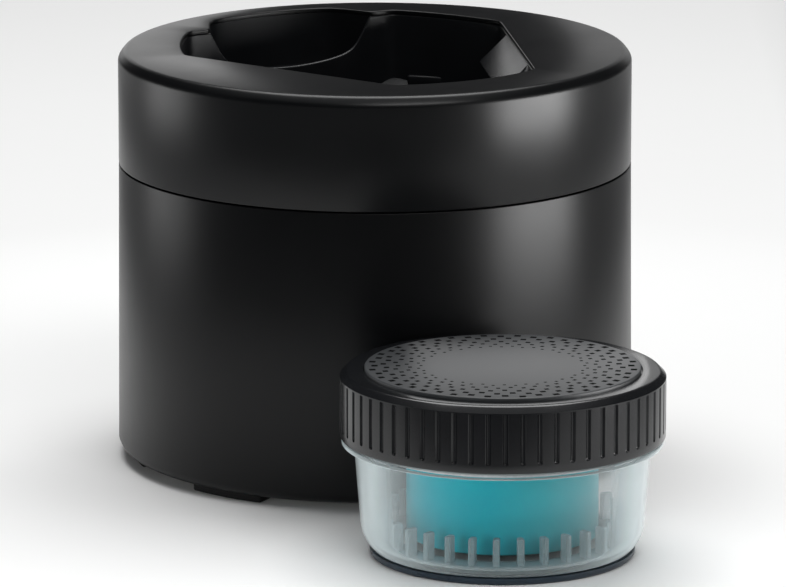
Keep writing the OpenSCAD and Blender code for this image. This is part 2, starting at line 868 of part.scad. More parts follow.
module catch_pegs(g) {
    for (side = [-1, 1])
        translate([side * (catch_half - 2), catch_back - 3, frame_z - eps])
            cylinder(r = 1.2 + g, h = frame_t - 0.2);
}

catch_back = sqrt(pow(skirt_r - skirt_w, 2) - pow(catch_half, 2)) - 0.1;

// Hooks that the release button's nose catches
module catch_plate() {
    tooth_y = arm_y + arm_t + nose_out + latch_gap;
    plate_y = tooth_y + 0.7;
    color([0.7, 0.71, 0.73]) {
        block([-catch_half, plate_y, tooth_z], [catch_half, catch_back, frame_z]);
        block([-catch_half, tooth_y, tooth_z], [catch_half, plate_y + eps, tooth_z + tooth_h]);
        block([-catch_half, catch_back - 5, frame_z - 1.5], [catch_half, catch_back, frame_z]);
        catch_pegs(0);
    }
}

module holder_seal() {
    color([0.1, 0.1, 0.105])
        ring(neck_r + 1.4, neck_in - 0.9, holder_under - seal_h, holder_under);
}

module pin_spring() {
    color("silver")
        translate([0, pin_y, pin_spring_z])
            coil_spring(2.6, 0.28, 6, pin_head_z - pin_spring_z);
}

// ---- parts that the user presses ----

module release_button() {
    color([0.09, 0.093, 0.098]) {
        intersection() {
            button_bar(0, flange_y - 1, foot_r + 3);
            translate([0, 0, button_z - button_h]) cylinder(r = pod_r + button_out, h = 2 * button_h);
        }
        intersection() {
            button_bar(2, flange_y - button_flange, flange_y);
            translate([0, 0, button_z - button_h]) cylinder(r = inner_r - 0.3, h = 2 * button_h);
        }
        block([-arm_w / 2, arm_y, button_z - 3.5], [arm_w / 2, flange_y - 1, button_z + 3.5]);
        block([-arm_w / 2, arm_y, button_z - 3.5], [arm_w / 2, arm_y + arm_t, arm_top]);
        block([-arm_w / 2, arm_y + arm_t - eps, arm_top - nose_h],
              [arm_w / 2, arm_y + arm_t + nose_out, arm_top]);
    }
}

module start_pin() {
    color([0.3, 0.31, 0.33])
        translate([0, pin_y, 0]) {
            difference() {
                translate([0, 0, pin_tip]) cylinder(r = pin_r, h = pin_head_z - pin_tip + eps);
                ring(pin_r + 1, pin_r - 0.5, clip_z - 0.05, clip_z + clip_h + 0.05);
            }
            translate([0, 0, pin_head_z]) cylinder(r1 = pin_head_r, r2 = pin_head_r - 0.6, h = pin_head_h);
        }
}

clip_z = holder_under - 0.2 - clip_h;

// Snap ring that keeps the start pin in
module pin_clip() {
    color("silver")
        translate([0, pin_y, 0])
            difference() {
                ring(clip_r, pin_r - 0.45, clip_z, clip_z + clip_h);
                block([-1, 0, clip_z - 1], [1, 10, clip_z + clip_h + 1]);
            }
}

// ---- cartridge ----

module cartridge_bowl() {
    flange_top = bowl_h + flange_t;
    color([0.75, 0.85, 0.87, 0.5])
    at_cartridge() {
        rotate_extrude()
            polygon([[0, ring_h], [bowl_foot_r - 1.6, ring_h], [bowl_foot_r, ring_h + 2],
                     [bowl_top_r, bowl_h], [flange_r, bowl_h], [flange_r, flange_top],
                     [neck_r, flange_top], [neck_r, neck_top], [neck_in, neck_top],
                     [neck_in, bowl_h], [bowl_foot_r - bowl_wall, bowl_floor + 1],
                     [bowl_foot_r - bowl_wall - 1, bowl_floor], [0, bowl_floor]]);
        threads();
    }
}

// Short level pads that climb along a helix, so that the cap's lugs run under them
module threads() {
    for (s = [0:thread_starts - 1])
        for (k = [0:thread_steps - 1])
            let (z = thread_z + rise_per_degree * thread_step * k)
                ring_arc(neck_r + thread_out, neck_r - 0.3, z, z + thread_h,
                         s * 360 / thread_starts - 2 + thread_step * k, thread_step - 0.5);
}

module base_ring() {
    color([0.1, 0.17, 0.22])
        at_cartridge() ring(bowl_foot_r - 1.1, bowl_foot_r - 6, 0, ring_h);
}

module flow_ring() {
    r_out = bowl_foot_r - bowl_wall - 1.2;
    r_in = cup_r + 0.4;
    plate = 0.8;
    fin_h = 6.4;
    fin_t = 1;
    color([0.8, 0.88, 0.9, 0.6])
    at_cartridge() {
        ring(r_out, r_in, cup_z, cup_z + plate);
        around([for (i = [0:fin_count - 1]) 360 / fin_count * i], 0)
            block([r_in + 0.3, -fin_t / 2, cup_z + plate - eps],
                  [r_out - 0.3, fin_t / 2, cup_z + plate + fin_h]);
    }
}

module inner_cup() {
    color([0.7, 0.85, 0.88, 0.5])
    at_cartridge() {
        difference() {
            translate([0, 0, cup_z]) cylinder(r = cup_r, h = cup_h);
            translate([0, 0, cup_z + cup_floor]) cylinder(r = cup_r - cup_wall, h = cup_h);
        }
        translate([0, 0, pump_z - eps]) cylinder(r = spindle_r, h = 8);
    }
}

module cleaning_fluid() {
    low = pump_z + 0.2;
    pump_top = pump_z + pump_h;
    color([0.08, 0.62, 0.68, 0.8])
    at_cartridge()
        rotate_extrude()
            polygon([[pump_r + 0.3, low], [cup_r - cup_wall - 0.2, low],
                     [cup_r - cup_wall - 0.2, fluid_top], [riser_r + 0.3, fluid_top],
                     [riser_r + 0.3, pump_top + 0.3], [pump_r + 0.3, pump_top + 0.3]]);
}

module pump_housing() {
    pump_wall = 1.2;
    color([0.75, 0.77, 0.8])
    at_cartridge()
    difference() {
        union() {
            translate([0, 0, pump_z]) cylinder(r = pump_r, h = pump_h);
            translate([0, 0, pump_z]) cylinder(r = riser_r, h = tray_floor + tray_plate - pump_z - 0.2);
        }
        translate([0, 0, pump_z - 1]) cylinder(r = pump_r - pump_wall, h = pump_h - pump_wall + 1);
        translate([0, 0, pump_z]) cylinder(r = riser_in, h = far);
        for (a = [0:60:300])
            rotate([0, 0, a]) block([pump_r - 3, -1.5, pump_z - 1], [pump_r + 1, 1.5, pump_z + 2.4]);
    }
}

module filter_disc() {
    color([0.85, 0.87, 0.88])
    at_cartridge()
    difference() {
        ring(neck_in - 0.4, riser_r + 0.3, filter_z, filter_z + filter_t);
        for (row = [[9, 10], [14.5, 16], [20, 22], [26.5, 28]])
            around([for (i = [0:row[1] - 1]) 360 / row[1] * i], row[0])
                translate([0, 0, filter_z - 1]) cylinder(r = 1.1, h = filter_t + 2);
    }
}

module head_tray() {
    color([0.8, 0.84, 0.86])
    at_cartridge()
    difference() {
        translate([0, 0, tray_z]) cylinder(r = neck_in - 0.3, h = neck_top - 1.2 - tray_z);
        translate([0, 0, tray_z - 1])
            cylinder(r = neck_in - 1.7, h = tray_floor - tray_z + 1);
        translate([0, 0, tray_floor + tray_plate]) cylinder(r = neck_in - 1.7, h = far);
        around([30, 150, 270], head_d)
            translate([0, 0, tray_floor + 0.8]) cylinder(r = head_r - 2, h = far);
        translate([0, 0, tray_z]) cylinder(r = riser_r + 0.3, h = far);
        around([90, 210, 330], head_d + 4) translate([0, 0, tray_z]) cylinder(r = 2, h = far);
    }
}

module pump_impeller() {
    low = pump_z + 3.4;
    color([0.85, 0.86, 0.88])
    at_cartridge()
    difference() {
        union() {
            translate([0, 0, pump_z + 0.6]) cylinder(r = 2.6, h = 6.6);
            translate([0, 0, low]) cylinder(r = pump_r - 2.4, h = 0.8);
            for (a = [0:60:300])
                rotate([0, 0, a])
                    block([1.8, -0.5, low + 0.4], [pump_r - 2.8, 0.5, low + 3.8]);
        }
        translate([0, 0, pump_z]) cylinder(r = spindle_r + impeller_gap, h = pump_h);
    }
}

module impeller_magnet() {
    color([0.35, 0.36, 0.38])
        at_cartridge() ring(pump_r - 3.4, 2.6, pump_z + 0.8, pump_z + 3.4);
}

module cap_seal() {
    color([0.3, 0.32, 0.34])
        at_cartridge()
            translate([0, 0, seal_z]) cylinder(r = neck_r - 0.1, h = cap_seal_t);
}

module cap_shell() {
    bevel = 1.5;
    groove_r = 0.95;
    pitch = 360 / groove_count;
    groove_top = cap_top - bevel - 0.2;
    color([0.1, 0.105, 0.11])
    at_cartridge()
    difference() {
        union() {
            difference() {
                rotate_extrude()
                    polygon([[0, cap_z], [cap_r, cap_z], [cap_r, cap_top - bevel],
                             [cap_r - bevel, cap_top], [0, cap_top]]);
                translate([0, 0, cap_z - 1]) cylinder(r = cap_in, h = cap_ceiling - cap_z + 1);
            }
            for (s = [0:thread_starts - 1])
                ring_arc(cap_in + 0.3, neck_r + 0.5, cap_lug_z, cap_lug_z + cap_lug_h,
                         s * 360 / thread_starts, lug_arc);
        }
        translate([0, 0, cap_top - disc_sink]) cylinder(r = disc_r + 0.15, h = 2);
        around([for (i = [0:groove_count - 1]) pitch * i], cap_r + groove_r - groove_depth)
            translate([0, 0, groove_top - groove_len]) cylinder(r = groove_r, h = groove_len);
    }
}

module cap_disc() {
    edge = 0.35;
    low = cap_top - disc_sink;
    high = cap_top + disc_up;
    color([0.14, 0.145, 0.15])
        at_cartridge()
            rotate_extrude()
                polygon([[0, low], [disc_r, low], [disc_r, high - edge], [disc_r - edge, high],
                         [0, high]]);
}

base_shell();
well_liner();
liner_screws();
bottom_plate();
bottom_screws();
rubber_feet();
battery_door();
door_screw();
battery_tray();
battery_cells();
battery_contacts();
motor();
motor_bracket();
motor_screws();
bracket_screws();
circuit_board();
board_parts();
micro_switch();
latch_guide();
latch_spring();
motor_shaft();
drive_disc();
drive_magnets();
top_cover();
shaver_holder();
side_guides();
inner_frame();
holder_screws();
catch_plate();
holder_seal();
pin_spring();
release_button();
start_pin();
pin_clip();
cartridge_bowl();
base_ring();
flow_ring();
inner_cup();
cleaning_fluid();
pump_housing();
filter_disc();
head_tray();
pump_impeller();
impeller_magnet();
cap_seal();
cap_shell();
cap_disc();
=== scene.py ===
import bpy
import bmesh
from math import atan2, cos, degrees, hypot, pi, radians, sin, sqrt
from mathutils import Matrix, Vector


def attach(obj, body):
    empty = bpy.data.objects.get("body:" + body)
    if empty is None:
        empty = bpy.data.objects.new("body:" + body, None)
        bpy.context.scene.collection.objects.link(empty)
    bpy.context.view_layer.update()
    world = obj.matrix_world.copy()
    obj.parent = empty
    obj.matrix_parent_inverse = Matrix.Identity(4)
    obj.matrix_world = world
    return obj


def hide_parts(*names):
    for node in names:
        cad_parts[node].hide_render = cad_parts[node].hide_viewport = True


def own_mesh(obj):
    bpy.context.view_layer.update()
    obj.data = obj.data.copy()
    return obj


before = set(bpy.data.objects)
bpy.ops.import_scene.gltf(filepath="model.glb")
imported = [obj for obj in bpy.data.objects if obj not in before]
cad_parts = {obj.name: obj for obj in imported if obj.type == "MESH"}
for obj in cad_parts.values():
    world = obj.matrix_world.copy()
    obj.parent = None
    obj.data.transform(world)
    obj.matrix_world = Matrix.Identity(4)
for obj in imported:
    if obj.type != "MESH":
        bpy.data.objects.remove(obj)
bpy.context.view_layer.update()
print("frame loaded")


# camera, lights and floor
camera = {"place": (-0.850, -1.4722, 0.4263), "turn": -30.148, "pitch": 12.83, "lens": 328.3}

camData = bpy.data.cameras.new("camera")
camData.sensor_width = 36
camData.lens = camera["lens"]
camData.clip_start = 0.01
camData.clip_end = 50
cam = bpy.data.objects.new("camera", camData)
cam.location = camera["place"]
cam.rotation_euler = (radians(90 - camera["pitch"]), 0, radians(camera["turn"]))
bpy.context.scene.collection.objects.link(cam)
bpy.context.scene.camera = cam


def softbox(name, azimuth, distance, height, width, tall, glow, aim=None):
    # azimuth 0 stands in front of the pod, 90 to its right; glow 1 is as bright as white paper
    a = radians(azimuth)
    data = bpy.data.lights.new(name, "AREA")
    data.shape = "RECTANGLE"
    data.size, data.size_y = width, tall
    data.energy = glow * pi * width * tall
    lamp = bpy.data.objects.new(name, data)
    lamp.location = (sin(a) * distance, -cos(a) * distance, height)
    back = lamp.location - Vector((0, 0, height if aim is None else aim))
    lamp.rotation_mode = "QUATERNION"
    lamp.rotation_quaternion = back.to_track_quat("Z", "Y")
    bpy.context.scene.collection.objects.link(lamp)
    lamp.visible_camera = False
    return lamp


softbox("boxTop", 150, 0.34, 1.20, 1.0, 0.8, 5.2, 0.05)
softbox("boxFront", -10, 0.85, 0.95, 0.7, 0.35, 4.2, 0.05)
softbox("boxRight", 41, 0.45, 0.075, 0.30, 0.15, 13.0).visible_diffuse = False
softbox("boxLeft", -129, 0.45, 0.06, 0.22, 0.12, 3.2).visible_diffuse = False
softbox("panelLeft", 170.7, 0.267, 0.145, 0.12, 0.11, 1.1)
softbox("panelRight", 126.1, 0.273, 0.145, 0.12, 0.11, 0.6)
# low lamp behind the cap, out of the camera's sight
capLamp = softbox("capLamp", 0, 0.0715, 0.061, 0.056, 0.026, 1.0)
capLamp.rotation_quaternion = Vector((sin(radians(30)), cos(radians(30)), 0)).to_track_quat("Z", "Y")
# two lamps beside the cartridge that add no highlights
softbox("bowlLeft", -53, 0.33, 0.06, 0.14, 0.09, 5.5, 0.02).visible_glossy = False
softbox("bowlRight", 28, 0.33, 0.08, 0.14, 0.09, 4.0, 0.02).visible_glossy = False


def addNode(tree, kind, sockets=None, **settings):
    node = tree.nodes.new(kind)
    for key, value in settings.items():
        setattr(node, key, value)
    for key, value in (sockets or {}).items():
        if isinstance(value, bpy.types.NodeSocket):
            tree.links.new(value, node.inputs[key])
        else:
            node.inputs[key].default_value = value
    return node


def mixColours(tree, factor, first, second):
    node = tree.nodes.new("ShaderNodeMix")
    node.data_type = "RGBA"
    for socket, value in ((node.inputs[0], factor), (node.inputs[6], first), (node.inputs[7], second)):
        if isinstance(value, bpy.types.NodeSocket):
            tree.links.new(value, socket)
        elif isinstance(value, (int, float)):
            socket.default_value = value
        else:
            socket.default_value = (*value, 1)
    return node.outputs[2]


def spread(tree, value, low, high, toLow, toHigh):
    # maps value from low..high to toLow..toHigh
    return addNode(tree, "ShaderNodeMapRange",
                   {"Value": value, "From Min": low, "From Max": high,
                    "To Min": toLow, "To Max": toHigh}).outputs[0]


def distanceAlong(tree, place, direction):
    return addNode(tree, "ShaderNodeVectorMath", {0: place, 1: direction},
                   operation="DOT_PRODUCT").outputs["Value"]


def noise(tree, place, scale, detail, roughness=0.5):
    return addNode(tree, "ShaderNodeTexNoise",
                   {"Vector": place, "Scale": scale, "Detail": detail, "Roughness": roughness}).outputs[0]


def bumpOf(tree, height, strength, distance):
    return addNode(tree, "ShaderNodeBump",
                   {"Height": height, "Strength": strength, "Distance": distance}).outputs[0]


def newLook(name):
    # an empty material, its node tree and the socket of the object's own coordinates
    mat = bpy.data.materials.new(name)
    mat.use_nodes = True
    tree = mat.node_tree
    tree.nodes.clear()
    return mat, tree, addNode(tree, "ShaderNodeTexCoord").outputs["Object"]


def coat(tree, sockets):
    # the shader and the output of a material
    shader = addNode(tree, "ShaderNodeBsdfPrincipled", sockets)
    addNode(tree, "ShaderNodeOutputMaterial", {"Surface": shader.outputs[0]})


# floor: pale, with painted shade on it out of the picture in front of the object and at both sides (a dark
# floor standing in for an unlit studio, which darkens the casing's reflections), and pale far off
floorLook = {"colour": (0.93, 0.93, 0.925), "front": (0.04, 0.04, 0.04), "side": (0.30, 0.30, 0.305),
             "far": (0.90, 0.90, 0.895), "size": 12.0,
             "towards": -48.0, "from": 0.165, "to": 0.24,
             "view": -30.1, "sideFrom": 0.12, "sideTo": 0.24,
             "farFrom": 0.45, "farTo": 0.85}
floorMat, tree, place = newLook("floorPaperAndShade")
outward = radians(floorLook["towards"])
ahead = distanceAlong(tree, place, (sin(outward), -cos(outward), 0))
across = radians(floorLook["view"])
sideways = distanceAlong(tree, place, (cos(across), sin(across), 0))
beside = addNode(tree, "ShaderNodeMath", {0: sideways}, operation="ABSOLUTE")
grain = noise(tree, place, 60.0, 3.0)
# painted shade: the floor darkens to the side colour beside the object and to the front colour in front of
# it
paperAndShade = mixColours(tree, spread(tree, beside.outputs[0], floorLook["sideFrom"], floorLook["sideTo"], 0, 1),
                   floorLook["colour"], floorLook["side"])
paperAndShade = mixColours(tree, spread(tree, ahead, floorLook["from"], floorLook["to"], 0, 1),
                   paperAndShade, floorLook["front"])
reach = addNode(tree, "ShaderNodeVectorMath", {0: place}, operation="LENGTH")
reached = spread(tree, reach.outputs["Value"], floorLook["farFrom"], floorLook["farTo"], 0, 1)
paperAndShade = mixColours(tree, reached, paperAndShade, floorLook["far"])
paperAndShade = mixColours(tree, spread(tree, grain, 0.3, 0.7, 0, 0.015), paperAndShade, (0.8, 0.8, 0.8))
coat(tree, {"Base Color": paperAndShade, "Roughness": 0.95, "Specular IOR Level": 0.0})

bm = bmesh.new()
bmesh.ops.create_grid(bm, x_segments=1, y_segments=1, size=floorLook["size"])
floorMesh = bpy.data.meshes.new("floor")
bm.to_mesh(floorMesh)
bm.free()
floorMesh.materials.append(floorMat)
floor = bpy.data.objects.new("floor", floorMesh)
bpy.context.scene.collection.objects.link(floor)

# world: a dim room with a soft ceiling
worldLook = {"dim": (0.03, 0.03, 0.031), "ceiling": (0.35, 0.355, 0.36), "from": 0.68, "to": 0.95}
world = bpy.data.worlds.new("studio")
bpy.context.scene.world = world
world.use_nodes = True
tree = world.node_tree
tree.nodes.clear()
facing = addNode(tree, "ShaderNodeTexCoord").outputs["Generated"]
upward = addNode(tree, "ShaderNodeSeparateXYZ", {0: facing}).outputs[2]
room = mixColours(tree, spread(tree, upward, worldLook["from"], worldLook["to"], 0, 1),
                  worldLook["dim"], worldLook["ceiling"])
sky = addNode(tree, "ShaderNodeBackground", {"Color": room, "Strength": 1.0})
addNode(tree, "ShaderNodeOutputWorld", {"Surface": sky.outputs[0]})
bpy.context.scene.view_settings.view_transform = "Standard"
print("camera, lights and floor done")


# materials
def mouldedPlastic(name, colour, roughness=0.4, grain=0.25, specular=0.5, fleck=0.25):
    # satin moulded plastic: faint mottling and a fine spark-eroded grain
    mat, tree, place = newLook(name)
    cloud = noise(tree, place, 28.0, 4.0, 0.6)
    fine = noise(tree, place, 2600.0, 2.0)
    low = [c * (1 - fleck) for c in colour]
    high = [min(1, c * (1 + fleck)) for c in colour]
    tone = mixColours(tree, spread(tree, cloud, 0.3, 0.7, 0, 1), low, high)
    rough = spread(tree, cloud, 0.25, 0.75, roughness - 0.035, roughness + 0.035)
    bump = bumpOf(tree, fine, grain, 0.00004)
    coat(tree, {"Base Color": tone, "Roughness": rough, "Normal": bump,
                "Specular IOR Level": specular, "IOR": 1.5})
    mat.diffuse_color = (*colour, 1)
    return mat


def brushedMetal(name, colour, roughness=0.3, stretch=(1, 1, 12)):
    # metal with fine drawn lines and faint stains
    mat, tree, place = newLook(name)
    pulled = addNode(tree, "ShaderNodeMapping", {"Vector": place, "Scale": stretch})
    lines = noise(tree, pulled.outputs[0], 400.0, 3.0)
    stain = noise(tree, place, 90.0, 3.0)
    tone = mixColours(tree, spread(tree, stain, 0.35, 0.75, 0, 1), colour, [c * 0.8 for c in colour])
    rough = spread(tree, lines, 0.3, 0.7, roughness - 0.06, roughness + 0.08)
    bump = bumpOf(tree, lines, 0.2, 0.00003)
    coat(tree, {"Base Color": tone, "Roughness": rough, "Metallic": 1.0, "Normal": bump})
    return mat


def clearPlastic(name, colour, veil, roughness=0.16, edge=0.3, power=1.6, blend=0.35):
    # milky clear plastic: partly see-through, whiter where it is seen edge on
    mat, tree, place = newLook(name)
    cloud = noise(tree, place, 60.0, 4.0)
    fine = noise(tree, place, 1800.0, 2.0)
    tone = mixColours(tree, spread(tree, cloud, 0.3, 0.7, 0, 1), colour, [c * 0.93 for c in colour])
    rim = addNode(tree, "ShaderNodeLayerWeight", {"Blend": blend}).outputs["Facing"]
    steep = addNode(tree, "ShaderNodeMath", {0: rim, 1: power}, operation="POWER").outputs[0]
    haze = spread(tree, steep, 0, 1, veil, veil + edge)
    bump = bumpOf(tree, fine, 0.15, 0.00004)
    coat(tree, {"Base Color": tone, "Roughness": roughness, "Alpha": haze, "Normal": bump,
                "Specular IOR Level": 0.5, "IOR": 1.46})
    mat.diffuse_color = (*colour, 1)
    return mat


shellBlack = mouldedPlastic("shellBlack", (0.0014, 0.0016, 0.0020), 0.34, 0.22, 0.25)
topBlack = mouldedPlastic("topBlack", (0.0022, 0.0025, 0.0030), 0.32, 0.22, 0.33)
pocketBlack = mouldedPlastic("pocketBlack", (0.0075, 0.0083, 0.0098), 0.36, 0.3, 0.4)
guideBlack = mouldedPlastic("guideBlack", (0.004, 0.0045, 0.0055), 0.24, 0.2, 0.2)
innerBlack = mouldedPlastic("innerBlack", (0.020, 0.021, 0.023), 0.5, 0.4)
footRubber = mouldedPlastic("footRubber", (0.008, 0.008, 0.0085), 0.7, 0.6, 0.3)
buttonBlack = mouldedPlastic("buttonBlack", (0.018, 0.019, 0.021), 0.33, 0.15)
capCharcoal = mouldedPlastic("capCharcoal", (0.0075, 0.0082, 0.0094), 0.21, 0.15)
discCharcoal = mouldedPlastic("discCharcoal", (0.036, 0.039, 0.042), 0.45, 0.3)
# painted shade: near-black, almost unreflecting faces for the disc's pits, standing in for the shade inside
# them
paintedPitShade = mouldedPlastic("paintedPitShade", (0.002, 0.002, 0.0022), 0.8, 0.2, 0.02)
ringNavy = mouldedPlastic("ringNavy", (0.008, 0.020, 0.034), 0.28, 0.15)
palePlastic = mouldedPlastic("palePlastic", (0.62, 0.68, 0.70), 0.35, 0.25)
drivePlastic = mouldedPlastic("drivePlastic", (0.05, 0.05, 0.055), 0.45, 0.3)
boardGreen = mouldedPlastic("boardGreen", (0.010, 0.085, 0.035), 0.32, 0.2, 0.5, 0.35)
chipBlack = mouldedPlastic("chipBlack", (0.022, 0.022, 0.024), 0.5, 0.3)
sealRubber = mouldedPlastic("sealRubber", (0.035, 0.036, 0.038), 0.62, 0.5, 0.35)
screwSteel = brushedMetal("screwSteel", (0.62, 0.62, 0.63), 0.28)
springSteel = brushedMetal("springSteel", (0.66, 0.66, 0.67), 0.22, (1, 1, 1))
motorSteel = brushedMetal("motorSteel", (0.58, 0.59, 0.60), 0.34)
contactMetal = brushedMetal("contactMetal", (0.72, 0.62, 0.40), 0.3)
magnetGrey = brushedMetal("magnetGrey", (0.42, 0.42, 0.44), 0.25)
bowlClear = clearPlastic("bowlClear", (0.80, 0.90, 0.92), 0.008, 0.14, 1.7, 2.2, 0.5)
cupClear = clearPlastic("cupClear", (0.45, 0.76, 0.80), 0.004, 0.2, 0.04, 1.8, 0.5)
finClear = clearPlastic("finClear", (0.45, 0.62, 0.66), 0.35, 0.14, 0.3, 1.2, 0.5)
print("materials done")


def cellWrap():
    # alkaline cell: bare steel ends, a plain two-tone sleeve along its length
    mat, tree, place = newLook("cellWrap")
    x = addNode(tree, "ShaderNodeSeparateXYZ", {0: place}).outputs[0]
    scuff = noise(tree, place, 220.0, 4.0)
    away = addNode(tree, "ShaderNodeMath", {0: x}, operation="ABSOLUTE").outputs[0]
    band = spread(tree, away, 0.0195, 0.0199, 0, 1)
    worn = spread(tree, scuff, 0.55, 0.8, 0, 0.4)
    sleeve = mixColours(tree, worn, (0.03, 0.045, 0.07), (0.2, 0.21, 0.22))
    tone = mixColours(tree, band, sleeve, (0.6, 0.6, 0.61))
    rough = spread(tree, scuff, 0.3, 0.7, 0.24, 0.4)
    coat(tree, {"Base Color": tone, "Metallic": band, "Roughness": rough})
    return mat


def fluidTeal():
    # cleaning fluid behind the cup's wall: uneven teal, with painted light making it paler to the right
    mat, tree, place = newLook("fluidTeal")
    cloud = noise(tree, place, 34.0, 3.0)
    speck = noise(tree, place, 900.0, 2.0)
    tone = mixColours(tree, spread(tree, cloud, 0.3, 0.7, 0, 1), (0.001, 0.43, 0.55), (0.006, 0.54, 0.63))
    tone = mixColours(tree, spread(tree, speck, 0.5, 0.8, 0, 0.10), tone, (0.1, 0.62, 0.68))
    # painted light: the teal turns paler towards the right side, as if lit from there
    right = distanceAlong(tree, place, (cos(radians(30)), -sin(radians(30)), 0))
    tone = mixColours(tree, spread(tree, right, 0.026, 0.05, 0, 1), tone, (0.075, 0.44, 0.50))
    coat(tree, {"Base Color": tone, "Roughness": 0.3, "Specular IOR Level": 0.08, "Alpha": 0.97})
    return mat


def filterFelt(name, colour):
    # fibrous felt
    mat, tree, place = newLook(name)
    fibre = noise(tree, place, 1500.0, 5.0, 0.7)
    tone = mixColours(tree, spread(tree, fibre, 0.3, 0.7, 0, 1), colour, [c * 0.78 for c in colour])
    bump = bumpOf(tree, fibre, 0.5, 0.0001)
    coat(tree, {"Base Color": tone, "Roughness": 0.85, "Normal": bump})
    return mat


cadFinish = {
    "well_liner": innerBlack, "liner_screws": screwSteel, "bottom_plate": shellBlack,
    "bottom_screws": screwSteel, "battery_door": shellBlack, "door_screw": screwSteel,
    "battery_tray": innerBlack, "battery_cells": cellWrap(), "battery_contacts": contactMetal,
    "motor": motorSteel, "motor_bracket": drivePlastic, "motor_screws": screwSteel,
    "bracket_screws": screwSteel, "circuit_board": boardGreen, "board_parts": chipBlack,
    "micro_switch": chipBlack, "latch_guide": drivePlastic, "latch_spring": springSteel,
    "motor_shaft": screwSteel, "drive_disc": drivePlastic, "drive_magnets": magnetGrey,
    "inner_frame": innerBlack, "holder_screws": screwSteel, "catch_plate": motorSteel,
    "holder_seal": sealRubber, "pin_spring": springSteel, "start_pin": buttonBlack,
    "pin_clip": springSteel, "pump_housing": palePlastic,
    "filter_disc": filterFelt("filterFelt", (0.72, 0.75, 0.76)),
    "head_tray": palePlastic, "pump_impeller": palePlastic, "impeller_magnet": magnetGrey,
    "cap_seal": sealRubber,
}
for nodeName, mat in cadFinish.items():
    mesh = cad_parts[nodeName].data
    mesh.materials.clear()
    mesh.materials.append(mat)
print("carried-over parts have their finishes")


# modelling helpers, all in millimetres until a piece is finished
def finishPiece(bm, name, mats, body, node, crease=32):
    bmesh.ops.remove_doubles(bm, verts=bm.verts, dist=0.002)
    bmesh.ops.recalc_face_normals(bm, faces=bm.faces)
    bmesh.ops.scale(bm, vec=(0.001, 0.001, 0.001), verts=bm.verts)
    for face in bm.faces:
        face.smooth = True
    for edge in bm.edges:
        edge.smooth = edge.is_manifold and edge.calc_face_angle(0) < radians(crease)
    mesh = bpy.data.meshes.new(name)
    bm.to_mesh(mesh)
    bm.free()
    for mat in mats:
        mesh.materials.append(mat)
    piece = bpy.data.objects.new(name, mesh)
    bpy.context.scene.collection.objects.link(piece)
    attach(piece, body)
    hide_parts(node)
    print("made", name, len(mesh.polygons), "faces")
    return piece


def turnZ(bm, verts, angle, centre=(0, 0, 0)):
    # turns the points round +Z by an angle in degrees
    bmesh.ops.rotate(bm, verts=verts, cent=centre, matrix=Matrix.Rotation(radians(angle), 3, "Z"))


def only(kind, geom):
    return [g for g in geom if isinstance(g, kind)]


def roundCorners(bm, verts, amount, steps=4):
    bmesh.ops.bevel(bm, geom=verts, offset=amount, offset_type="OFFSET", segments=steps,
                    profile=0.5, affect="VERTICES", material=-1)


def roundEdges(bm, edges, amount, steps=3):
    bmesh.ops.bevel(bm, geom=edges, offset=amount, offset_type="OFFSET", segments=steps,
                    profile=0.5, affect="EDGES", material=-1, clamp_overlap=True)


def turned(profile, steps=192, angle=360, centre=(0, 0), rise=0, start=0):
    # profile is a closed outline of (radius, height, rounding); it is spun round +Z
    bm = bmesh.new()
    corners = [bm.verts.new((r, 0, z)) for r, z, _ in profile]
    onAxis = profile[0][0] == 0 and profile[-1][0] == 0
    pairs = list(zip(corners, corners[1:])) + ([] if onAxis else [(corners[-1], corners[0])])
    for a, b in pairs:
        bm.edges.new((a, b))
    for corner, (r, z, rounding) in zip(corners, profile):
        if rounding:
            roundCorners(bm, [corner], rounding)
    full = angle == 360
    if not full:
        bmesh.ops.contextual_create(bm, geom=bm.edges[:])
    bmesh.ops.spin(bm, geom=bm.verts[:] + bm.edges[:] + bm.faces[:], cent=(0, 0, 0), axis=(0, 0, 1),
                   dvec=(0, 0, rise / steps), angle=radians(angle), steps=steps, use_merge=full)
    turnZ(bm, bm.verts, start)
    bmesh.ops.translate(bm, verts=bm.verts, vec=(*centre, 0))
    bmesh.ops.remove_doubles(bm, verts=bm.verts, dist=0.002)
    return bm


def roundedBlock(low, high, rounding, steps=3):
    bm = bmesh.new()
    bmesh.ops.create_cube(bm, size=1)
    size = [h - l for l, h in zip(low, high)]
    bmesh.ops.scale(bm, vec=size, verts=bm.verts)
    bmesh.ops.translate(bm, verts=bm.verts, vec=[(l + h) / 2 for l, h in zip(low, high)])
    if rounding:
        roundEdges(bm, bm.edges[:], rounding, steps)
    return bm


def joinIn(bm, other, turn=0):
    # adds the other form to bm, turned round +Z
    turnZ(other, other.verts, turn)
    mesh = bpy.data.meshes.new("scrap")
    other.to_mesh(mesh)
    other.free()
    bm.from_mesh(mesh)
    bpy.data.meshes.remove(mesh)


def loopedForm(columns, loops):
    # a closed tube round +Z: each loop gives (radius, height) at an angle in radians
    bm = bmesh.new()
    bmesh.ops.create_circle(bm, segments=columns, radius=1, cap_ends=False)
    made = []
    edges = bm.edges[:]
    for loop in loops:
        if made:
            edges = only(bmesh.types.BMEdge, bmesh.ops.extrude_edge_only(bm, edges=edges)["geom"])
        for v in {v for e in edges for v in e.verts}:
            a = atan2(v.co.y, v.co.x)
            r, z = loop(a)
            v.co = (r * cos(a), r * sin(a), z)
        made.append(edges)
    bmesh.ops.bridge_loops(bm, edges=made[0] + made[-1])
    return bm, made


def nearestOf(a, b, sharpness):
    return (a ** -sharpness + b ** -sharpness) ** (-1 / sharpness)


def farthestOf(a, b, sharpness):
    return (a ** sharpness + b ** sharpness) ** (1 / sharpness)


